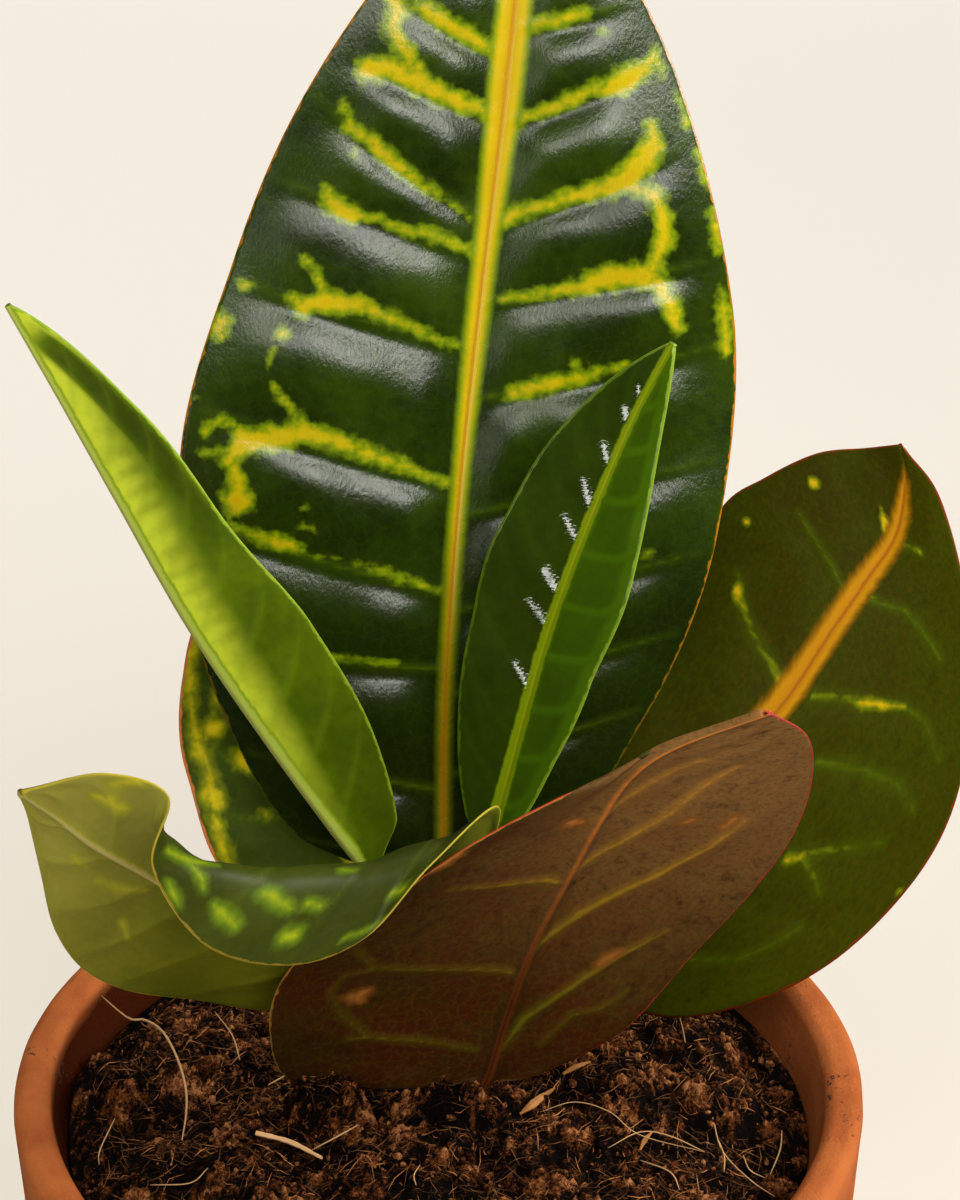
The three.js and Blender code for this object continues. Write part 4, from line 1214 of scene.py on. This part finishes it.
share = np.linspace(0, 1, 120)
line = spline(STEM_PATH, share)
radius = STEM_RADIUS + (STEM_TOP_RADIUS - STEM_RADIUS) * share
for scar in SCARS:
    radius = radius * (1 + SCAR_SWELL * np.exp(-(((line[:, 2] - scar) / SCAR_HALF) ** 2)))
bud = np.linspace(0.05, 0.98, 20)
bud_line = line[-1] + np.stack([bud * BUD_LEAN, bud * 0, bud * BUD_LENGTH], axis=1)
bud_radius = STEM_TOP_RADIUS * np.cos(bud * np.pi / 2) ** 0.7
line, radius = np.concatenate([line, bud_line]), np.concatenate([radius, bud_radius])
make_piece("stem_skin", *tube_mesh(line, radius, STEM_SIDES), [bark], "stem", "stem")

# %% [markdown]
# ## Pot
#
# The pot is pressed clay: a tapered wall with a thick collar at the rim, soft edges, and a floor with
# three drain holes. It is turned from a profile like the CAD solid, with the profile's corners rounded
# more finely and the wall a little uneven, as pressed clay is, and the holes are cut out of its floor.
# The clay is mottled and gritty to the touch; inside, below the lip, it is darker from stain of peat
# and damp and from painted shade, deepest on the left.

# %% Pot
POT_HEIGHT, RIM_RADIUS, FOOT_RADIUS = 90, 50, 33
COLLAR_HEIGHT, COLLAR_TAPER, COLLAR_STEP = 25, 1.5, 3
WALL, FLOOR, LIP_ROUND = 4.5, 5, 1.6
POT_SIDES, LONGEST = 240, 1.6
UNEVEN, INSET = 0.16, 0.18

collar_foot = RIM_RADIUS - COLLAR_TAPER
collar_bottom = POT_HEIGHT - COLLAR_HEIGHT
neck = collar_foot - COLLAR_STEP
outer_lip, inner_rim = RIM_RADIUS - LIP_ROUND, RIM_RADIUS - WALL
inner_foot = FOOT_RADIUS - WALL


def inner_radius(z):
    """The radius of the pot's inner wall at a height."""
    return inner_foot + (inner_rim - inner_foot) * (z - FLOOR) / (POT_HEIGHT - FLOOR)


def lip(radius, start_angle, end_angle):
    """Points round one corner of the lip, by angles in degrees."""
    angle = np.radians(np.linspace(start_angle, end_angle, 9))
    return [[radius + LIP_ROUND * c, POT_HEIGHT - LIP_ROUND + LIP_ROUND * s]
            for c, s in zip(np.cos(angle), np.sin(angle))]


profile = [[0.01, 0], [FOOT_RADIUS - 1, 0], [FOOT_RADIUS - 0.3, 0.3], [FOOT_RADIUS, 1]]
for step, rise in [(0, -2), (0.1, -1.2), (0.4, -0.6), (1, -0.15)]:
    profile.append([neck + step, collar_bottom + rise])
for step, rise in [(1, 0), (0.3, 0.3), (0, 1)]:
    profile.append([collar_foot - step, collar_bottom + rise])
profile += lip(outer_lip, 0, 90) + lip(inner_rim + LIP_ROUND, 90, 180)
profile += [[inner_radius(POT_HEIGHT - 5), POT_HEIGHT - 5], [inner_radius(FLOOR + 3), FLOOR + 3]]
profile += [[inner_foot - 2, FLOOR], [0.01, FLOOR]]
profile = np.array(profile)


def divided(line, longest):
    """The same line with its long stretches cut into shorter ones."""
    parts = []
    for start_point, end_point in zip(line[:-1], line[1:]):
        cuts = max(1, int(np.ceil(np.linalg.norm(end_point - start_point) / longest)))
        parts.append(start_point + (end_point - start_point) * np.arange(cuts)[:, None] / cuts)
    return np.concatenate([*parts, line[-1:]])


profile = divided(profile, LONGEST)
rows = len(profile)
turn = np.arange(POT_SIDES) / POT_SIDES * 2 * np.pi
wobble = np.zeros((rows, POT_SIDES))
for row, (r, z) in enumerate(profile):
    for column, angle in enumerate(turn):
        spot = Vector((math.cos(angle) * r, math.sin(angle) * r, z)) * 0.06
        wobble[row, column] = noise.fractal(spot, 1.0, 2.0, 3) * UNEVEN
reach = np.minimum(profile[:, :1] + wobble - INSET, RIM_RADIUS) * (profile[:, :1] > 1) + 0.01
level = np.repeat(profile[:, 1:], POT_SIDES, axis=1)
points = np.stack([reach * np.cos(turn), reach * np.sin(turn), level], axis=-1).reshape(-1, 3)
faces = ring_faces(rows, POT_SIDES).tolist() + end_faces(rows, POT_SIDES)


def clay_material():
    """Mottled clay, darker inside by stain and painted shade, with grit and specks of dirt."""
    material, start = blank("clay")
    place = object_mm(start)
    inside = attribute(start, "inside")
    mottle = place.cloud(0.12, 4.0, 0.6)
    grit = place.cloud(2.2, 4.0, 0.7)
    colour = mottle.step(-0.2, 0.2).mix((0.31, 0.078, 0.02), (0.42, 0.118, 0.031))
    colour = (grit.step(0.0, 0.3) * 0.3).mix(colour, (0.5, 0.2, 0.09))
    # Stain and painted shade: the clay darkens where the field inside is high.
    stain_and_shade = inside * (mottle * 0.5 + 1.1 + grit * 0.2)
    colour = stain_and_shade.mix(colour, (0.036, 0.006, 0.0003))
    dirt = (place.cloud(0.9, 3.0, 0.7) + place.cloud(0.08, 2.0)).step(0.24, 0.3)
    colour = dirt.mix(colour, (0.06, 0.03, 0.02))
    surface(start, colour, 0.75, grit * 0.5 + mottle, depth=0.0004, Specular_IOR_Level=0.03)
    return material


# Painted shade: the inner wall darkens from just below the lip, most on the left.
past_lip = np.arange(rows) > np.argmax(profile[:, 1])
inside = np.clip((POT_HEIGHT - 0.6 - profile[:, 1]) / 1.8, 0, 1) * past_lip
inside = inside[:, None] * (0.7 - 0.33 * np.cos(turn))
pot = make_piece("pot_turned", points, faces, [clay_material()], "terracotta", "pot",
                 values={"inside": inside.reshape(-1)})

# %% Drain holes
DRAIN_RADIUS, DRAIN_CIRCLE, DRAIN_HOLES, DRAIN_SIDES = 3.5, 12, 3, 32

drill_points, drill_faces = [], []
for hole in range(DRAIN_HOLES):
    angle = hole / DRAIN_HOLES * 2 * math.pi + math.pi / 2
    centre = np.array([math.cos(angle), math.sin(angle), 0]) * DRAIN_CIRCLE
    ends = [centre + [0, 0, -2], centre + [0, 0, FLOOR + 2]]
    tube_points, tube_faces = tube_mesh(ends, [DRAIN_RADIUS] * 2, DRAIN_SIDES)
    drill_faces += [[v + len(drill_points) for v in face] for face in tube_faces]
    drill_points += (tube_points * MM).tolist()
drill_mesh = bpy.data.meshes.new("drills")
drill_mesh.from_pydata(drill_points, [], drill_faces)
drill = bpy.data.objects.new("drills", drill_mesh)
bpy.context.collection.objects.link(drill)
cut = pot.modifiers.new("drain", "BOOLEAN")
cut.object = drill
cut.operation = "DIFFERENCE"
cut.solver = "EXACT"
drilled = bpy.data.meshes.new_from_object(pot.evaluated_get(bpy.context.evaluated_depsgraph_get()))
pot.modifiers.clear()
pot.data = drilled
bpy.data.objects.remove(drill)
print("pot with holes:", len(drilled.polygons), "faces")

# %% [markdown]
# ## Peat
#
# The pot is filled with dark peat: soft clods with crumbs, splinters and hair-thin roots on them. The
# body is one closed solid with a lumpy top, as in the CAD source, here with clods and grain pressed
# into its surface. Crumbs and fibres are scattered over it by chance, and a fibre that would run off the
# peat or stand up steeply is left out. The few pale roots and chips that the photo shows are laid where
# they lie, each drawn as places in the photo that are dropped on the peat.

# %% The shape of the peat's top; clods as across, down, size, height
SOIL_EDGE, SOIL_MOUND, SOIL_LUMP, FIT_GAP = 82, 6, 1.1, 0.3
SOIL_NEAR_TOP = 87
CLODS = [
    (130, 1068, 9, 3.0), (92, 1090, 6, 1.5), (120, 1168, 7, 1.4), (325, 1118, 4.6, 3.4), (665, 1075, 10, 1.6),
    (700, 1030, 7, 1.6), (400, 1175, 9, 1.0), (560, 1150, 7, 0.8), (230, 1050, 6, 1.0), (215, 1105, 5, 0.8),
    (470, 1135, 6, 0.8), (760, 1120, 6, 0.8), (640, 1165, 6, 0.8), (360, 1114, 4, 1.2), (420, 1122, 4, 1.4),
    (470, 1122, 5, 1.6), (520, 1112, 4, 1.8), (560, 1096, 4, 1.8), (492, 1126, 3.5, 2.2),
    (455, 1128, 3.5, 1.8), (430, 1150, 5, 1.8), (610, 1105, 5, 2.0), (720, 1100, 5, 2.2),
    (250, 1180, 6, 2.0), (90, 1130, 4, 1.5),
]
clod_spots = [(*from_photo(clod[:2], SOIL_NEAR_TOP)[:2], *clod[2:]) for clod in CLODS]


def soil_top(x, y):
    """The height of the peat, with its clods but without its grain."""
    share = np.minimum(np.hypot(x, y) / inner_radius(SOIL_EDGE), 1)
    lumps = np.sin(0.31 * x + 1.3) * np.cos(0.27 * y) + 0.7 * np.sin(0.17 * x - 0.41 * y + 2)
    top = SOIL_EDGE + SOIL_MOUND * (1 - share**3) + SOIL_LUMP * lumps * (1 - share**4)
    for cx, cy, size, height in clod_spots:
        near = np.clip(1 - ((x - cx) ** 2 + (y - cy) ** 2) / size**2, 0, 1)
        top = top + height * near**0.4
    return top


def on_soil(pixel, lift=0.0):
    """The point of the peat's top, or lift millimetres above it, that a pixel of the photo shows."""
    point = from_photo(pixel, SOIL_NEAR_TOP)
    for _ in range(12):
        point = from_photo(pixel, float(soil_top(point[0], point[1])) + lift)
    return point


print("peat at its middle:", round(float(soil_top(0, 0)), 1), "mm")
print("the first clod's middle:", on_soil(CLODS[0][:2]).round(1))

# %% Peat body
SOIL_RINGS, SOIL_SPOKES = 170, 340
CLEFT, SMALL_CLEFT = 2.6, 0.6
ring_share = np.linspace(0, 1, SOIL_RINGS + 1)[1:] ** 0.85
spoke = np.arange(SOIL_SPOKES) / SOIL_SPOKES * 2 * np.pi
edge_radius = inner_radius(SOIL_EDGE) - FIT_GAP
grid_x = ring_share[:, None] * edge_radius * np.cos(spoke)
grid_y = ring_share[:, None] * edge_radius * np.sin(spoke)
grid_z = soil_top(grid_x, grid_y)
grain = np.zeros(grid_z.shape)
for place in np.ndindex(*grain.shape):
    spot = Vector((grid_x[place], grid_y[place], 0))
    clod = noise.voronoi(spot * 0.16)[0]
    crumb = noise.voronoi(spot * 0.55)[0]
    fine = noise.fractal(spot * 0.9, 0.9, 2.1, 4)
    clefts = CLEFT * (min(clod[1] - clod[0], 0.4) - 0.25) + SMALL_CLEFT * min(crumb[1] - crumb[0], 0.5)
    grain[place] = clefts + fine
calm = 1 - smooth(ring_share, 0.985, 1.0)[:, None]
grid_z = grid_z + grain * calm

rings = [*np.stack([grid_x, grid_y, grid_z], axis=-1)]
levels = [(inner_radius(z) - FIT_GAP, z) for z in np.linspace(SOIL_EDGE - 1, FLOOR + 3, 6)]
for radius, z in [*levels, (inner_foot - 2, FLOOR + FIT_GAP)]:
    rings.append(np.stack([radius * np.cos(spoke), radius * np.sin(spoke), np.full(SOIL_SPOKES, z)], axis=1))
hub = len(rings) * SOIL_SPOKES
faces = turned_over(ring_faces(len(rings), SOIL_SPOKES))
faces += [[hub, k, (k + 1) % SOIL_SPOKES] for k in range(SOIL_SPOKES)]
faces.append(end_faces(len(rings), SOIL_SPOKES)[1][::-1])
points = np.concatenate([*rings, [[0, 0, grid_z[0].mean()]]])


def peat_material(dark, brown, red):
    """Peat from dark through brown to red as the field shade rises; granule gaps get painted shade."""
    material, start = blank("peat")
    place = object_mm(start)
    patch = place.cloud(0.15, 3.0, 0.6)
    hairy = place.cloud(1.3, 6.0, 0.8, 1.8)
    # Painted shade: the granules' edges darken the gaps between them; they feed the bump too.
    granules_and_gap_shade = place.cells(0.9).step(0.0, 0.3)
    shade = attribute(start, "shade")
    light = hairy * 1.8 + patch * 0.8 + shade + granules_and_gap_shade * 0.12
    colour = light.step(-0.02, 0.3).mix(dark, brown)
    colour = (light + place.cloud(0.35, 2.0) * 0.6).step(0.2, 0.55).mix(colour, red)
    surface(start, colour, 0.85, hairy + granules_and_gap_shade * 0.3, depth=MM, Specular_IOR_Level=0.06)
    return material


peat = peat_material((0.004, 0.0015, 0.0005), (0.17, 0.046, 0.009), (0.62, 0.25, 0.09))
# Painted light and shade: the body is darker in its clefts and lighter on its clods, by its field shade.
body_shade = np.zeros(len(points))
body_shade[: grain.size] = np.clip(grain.reshape(-1) * 0.35 - 0.05, -0.4, 0.4)
make_piece("peat_body", points, faces, [peat], "peat", "soil", values={"shade": body_shade})

# %% Crumbs
CRUMBS, CRUMB_SMALLEST, CRUMB_SPREAD = 4200, 0.14, 0.42


def ball(rings, sides):
    """A unit ball's points and faces, from rings of points between two poles."""
    angles = np.linspace(0, np.pi, rings + 2)[1:-1, None]
    turns = np.arange(sides) / sides * 2 * np.pi
    grid = [np.sin(angles) * np.cos(turns), np.sin(angles) * np.sin(turns), np.cos(angles) + 0 * turns]
    grid = np.stack(grid, axis=-1).reshape(-1, 3)
    top, last = len(grid), (rings - 1) * sides
    faces = [(top, k, (k + 1) % sides) for k in range(sides)]
    faces += [(top + 1, last + (k + 1) % sides, last + k) for k in range(sides)]
    return np.concatenate([grid, [[0, 0, 1], [0, 0, -1]]]), faces + turned_over(ring_faces(rings, sides))


ball_points, ball_faces = ball(2, 5)
crumb_points, crumb_faces, crumb_shade = [], [], []
for crumb in range(CRUMBS):
    radius = (edge_radius - 1.5) * math.sqrt(rng.random())
    angle = rng.random() * 2 * math.pi
    size = CRUMB_SMALLEST + CRUMB_SPREAD * rng.random() ** 3
    x, y = radius * math.cos(angle), radius * math.sin(angle)
    centre = np.array([x, y, float(soil_top(x, y)) + size * 0.2 + 0.2])
    stretch = 0.5 + 0.9 * rng.random(3)
    rough = 1 + 0.15 * rng.standard_normal(len(ball_points))
    crumb_faces += [[v + len(ball_points) * crumb for v in face] for face in ball_faces]
    crumb_points.append(centre + ball_points * stretch * size * rough[:, None])
    crumb_shade.append(np.full(len(ball_points), 0.6 * rng.random() ** 2 - 0.25))
make_piece("peat_crumbs", np.concatenate(crumb_points), crumb_faces, [peat], "peat", even=False,
           values={"shade": np.concatenate(crumb_shade)})

# %% Fibres
FIBRES = 11000
FIBRE_STEPS = [0, 0.5, 1]
FIBRE_SHORTEST, FIBRE_SPREAD = 0.6, 3.4
FIBRE_THINNEST, FIBRE_THICKER = 0.025, 0.06
FIBRE_LIFT, FIBRE_STEEPEST = 0.8, 0.4


def threads(name, paths, radii, material, sides, shades=None):
    """Many thin tubes as one piece."""
    all_points, all_faces = [], []
    for path, radius in zip(paths, radii):
        taper = radius * (1 - 0.6 * np.linspace(-1, 1, len(path)) ** 4)
        points, faces = tube_mesh(path, taper, sides)
        all_faces += [[v + len(all_points) * len(points) for v in face] for face in faces]
        all_points.append(points)
    values = None if shades is None else {"shade": np.repeat(shades, len(points))}
    make_piece(name, np.concatenate(all_points), all_faces, [material], "peat", values=values)


def fibre_material(name, dark, pale):
    """A dull fibre, paler where the field shade is higher."""
    material, start = blank(name)
    tint = object_mm(start).cloud(0.3, 2.0) + attribute(start, "shade")
    surface(start, tint.step(-0.2, 1.2).mix(dark, pale), 0.7, Specular_IOR_Level=0.1)
    return material


paths, radii = [], []
for fibre in range(FIBRES):
    radius = (edge_radius - 2) * math.sqrt(rng.random())
    angle = rng.random() * 2 * math.pi
    x, y = radius * math.cos(angle), radius * math.sin(angle)
    heading = rng.random() * 2 * math.pi
    length = FIBRE_SHORTEST + FIBRE_SPREAD * rng.random() ** 2.5
    path = []
    lift = rng.random() ** 3 * FIBRE_LIFT
    for step in FIBRE_STEPS:
        heading += rng.normal() * 0.25
        height = float(soil_top(x, y)) + 0.15 + 0.5 * rng.random() + lift * step
        path.append([x, y, height])
        x += math.cos(heading) * length / 2
        y += math.sin(heading) * length / 2
    lies_flat = abs(path[2][2] - path[0][2]) < FIBRE_STEEPEST * length
    if lies_flat and math.hypot(x, y) < edge_radius - 1:
        paths.append(path)
        radii.append(FIBRE_THINNEST + FIBRE_THICKER * rng.random() ** 2)
fibre_brown = fibre_material("fibre_brown", (0.015, 0.005, 0.001), (0.5, 0.2, 0.06))
threads("peat_fibres", paths, radii, fibre_brown, 3, shades=rng.random(len(paths)) ** 3.2)

# %% Roots and chips: across, down, height above the peat, and for chips the half width
ROOTS = [
    [(98, 993, 5.0), (128, 1018, 4.5), (145, 1020, 4.0), (163, 1032, 3.5), (178, 1060, 3.5), (186, 1090, 3.5),
     (186, 1115, 2.5), (182, 1140, 1.0)],
    [(215, 1012, 0.8), (232, 1035, 1.0), (240, 1060, 0.3)],
    [(115, 1118, 0.5), (100, 1150, 1.0), (99, 1165, 0.5)],
    [(150, 1185, 0.6), (190, 1183, 1.2), (208, 1168, 0.5)],
    [(700, 1080, 0.5), (712, 1115, 1.2), (722, 1150, 1.0), (748, 1178, 1.5), (775, 1197, 1.0)],
    [(716, 1135, 0.6), (724, 1155, 1.0), (724, 1172, 0.3)],
    [(540, 1112, 0.3), (575, 1102, 1.2), (610, 1112, 1.4), (640, 1135, 1.0), (705, 1152, 0.3)],
    [(608, 1148, 0.3), (640, 1132, 1.3), (670, 1136, 1.3), (705, 1152, 0.5)],
    [(678, 1011, 3.5), (683, 1030, 2.5), (686, 1048, 0.3)],
    [(782, 1130, 0.8), (780, 1150, 1.2), (770, 1175, 0.3)],
    [(743, 1155, 0.5), (750, 1170, 1.0), (765, 1178, 0.3)],
    [(640, 1160, 0.5), (670, 1172, 0.8), (680, 1190, 0.3)],
    [(420, 1165, 0.5), (414, 1175, 0.8), (416, 1185, 0.3)],
    [(268, 1085, 0.5), (290, 1072, 1.2), (296, 1060, 0.6)],
    [(312, 1150, 0.4), (340, 1135, 0.8), (358, 1125, 0.3)],
]
SPLINTERS = [
    [(256, 1133, 1.2, 0.3), (290, 1142, 1.4, 0.3), (322, 1158, 1.0, 0.2)],
    [(563, 1074, 1.2, 0.2), (576, 1067, 1.3, 0.34), (590, 1062, 1.2, 0.15)],
    [(520, 1114, 0.8, 0.15), (532, 1105, 1.0, 0.5), (541, 1098, 1.0, 0.45), (555, 1088, 0.8, 0.12)],
    [(640, 1150, 0.7, 0.12), (645, 1140, 0.8, 0.36), (652, 1132, 0.6, 0.12)],
]
root_pale = fibre_material("root_pale", (0.44, 0.25, 0.11), (0.62, 0.4, 0.2))
chip_wood = fibre_material("chip_wood", (0.3, 0.12, 0.03), (0.8, 0.46, 0.2))
stick_wood = fibre_material("stick_wood", (0.66, 0.38, 0.18), (0.84, 0.54, 0.28))
paths = [spline([on_soil(p[:2], p[2] + 0.6) for p in root], np.linspace(0, 1, 24)) for root in ROOTS]
threads("pale_roots", paths, [0.15, *(0.06 + 0.05 * rng.random() for _ in paths[1:])], root_pale, 6)
share = np.linspace(0, 1, 16)
for number, splinter in enumerate(SPLINTERS):
    path = spline([on_soil(p[:2], p[2]) for p in splinter], share)
    thick = np.interp(share, np.linspace(0, 1, len(splinter)), [p[3] for p in splinter])
    points, faces = tube_mesh(path, thick * (0.85 + 0.3 * rng.random(16)), 6)
    wood = chip_wood if number else stick_wood
    make_piece(f"splinter_{number}", points, faces, [wood], "peat", even=False)

# %% [markdown]
# ## The end
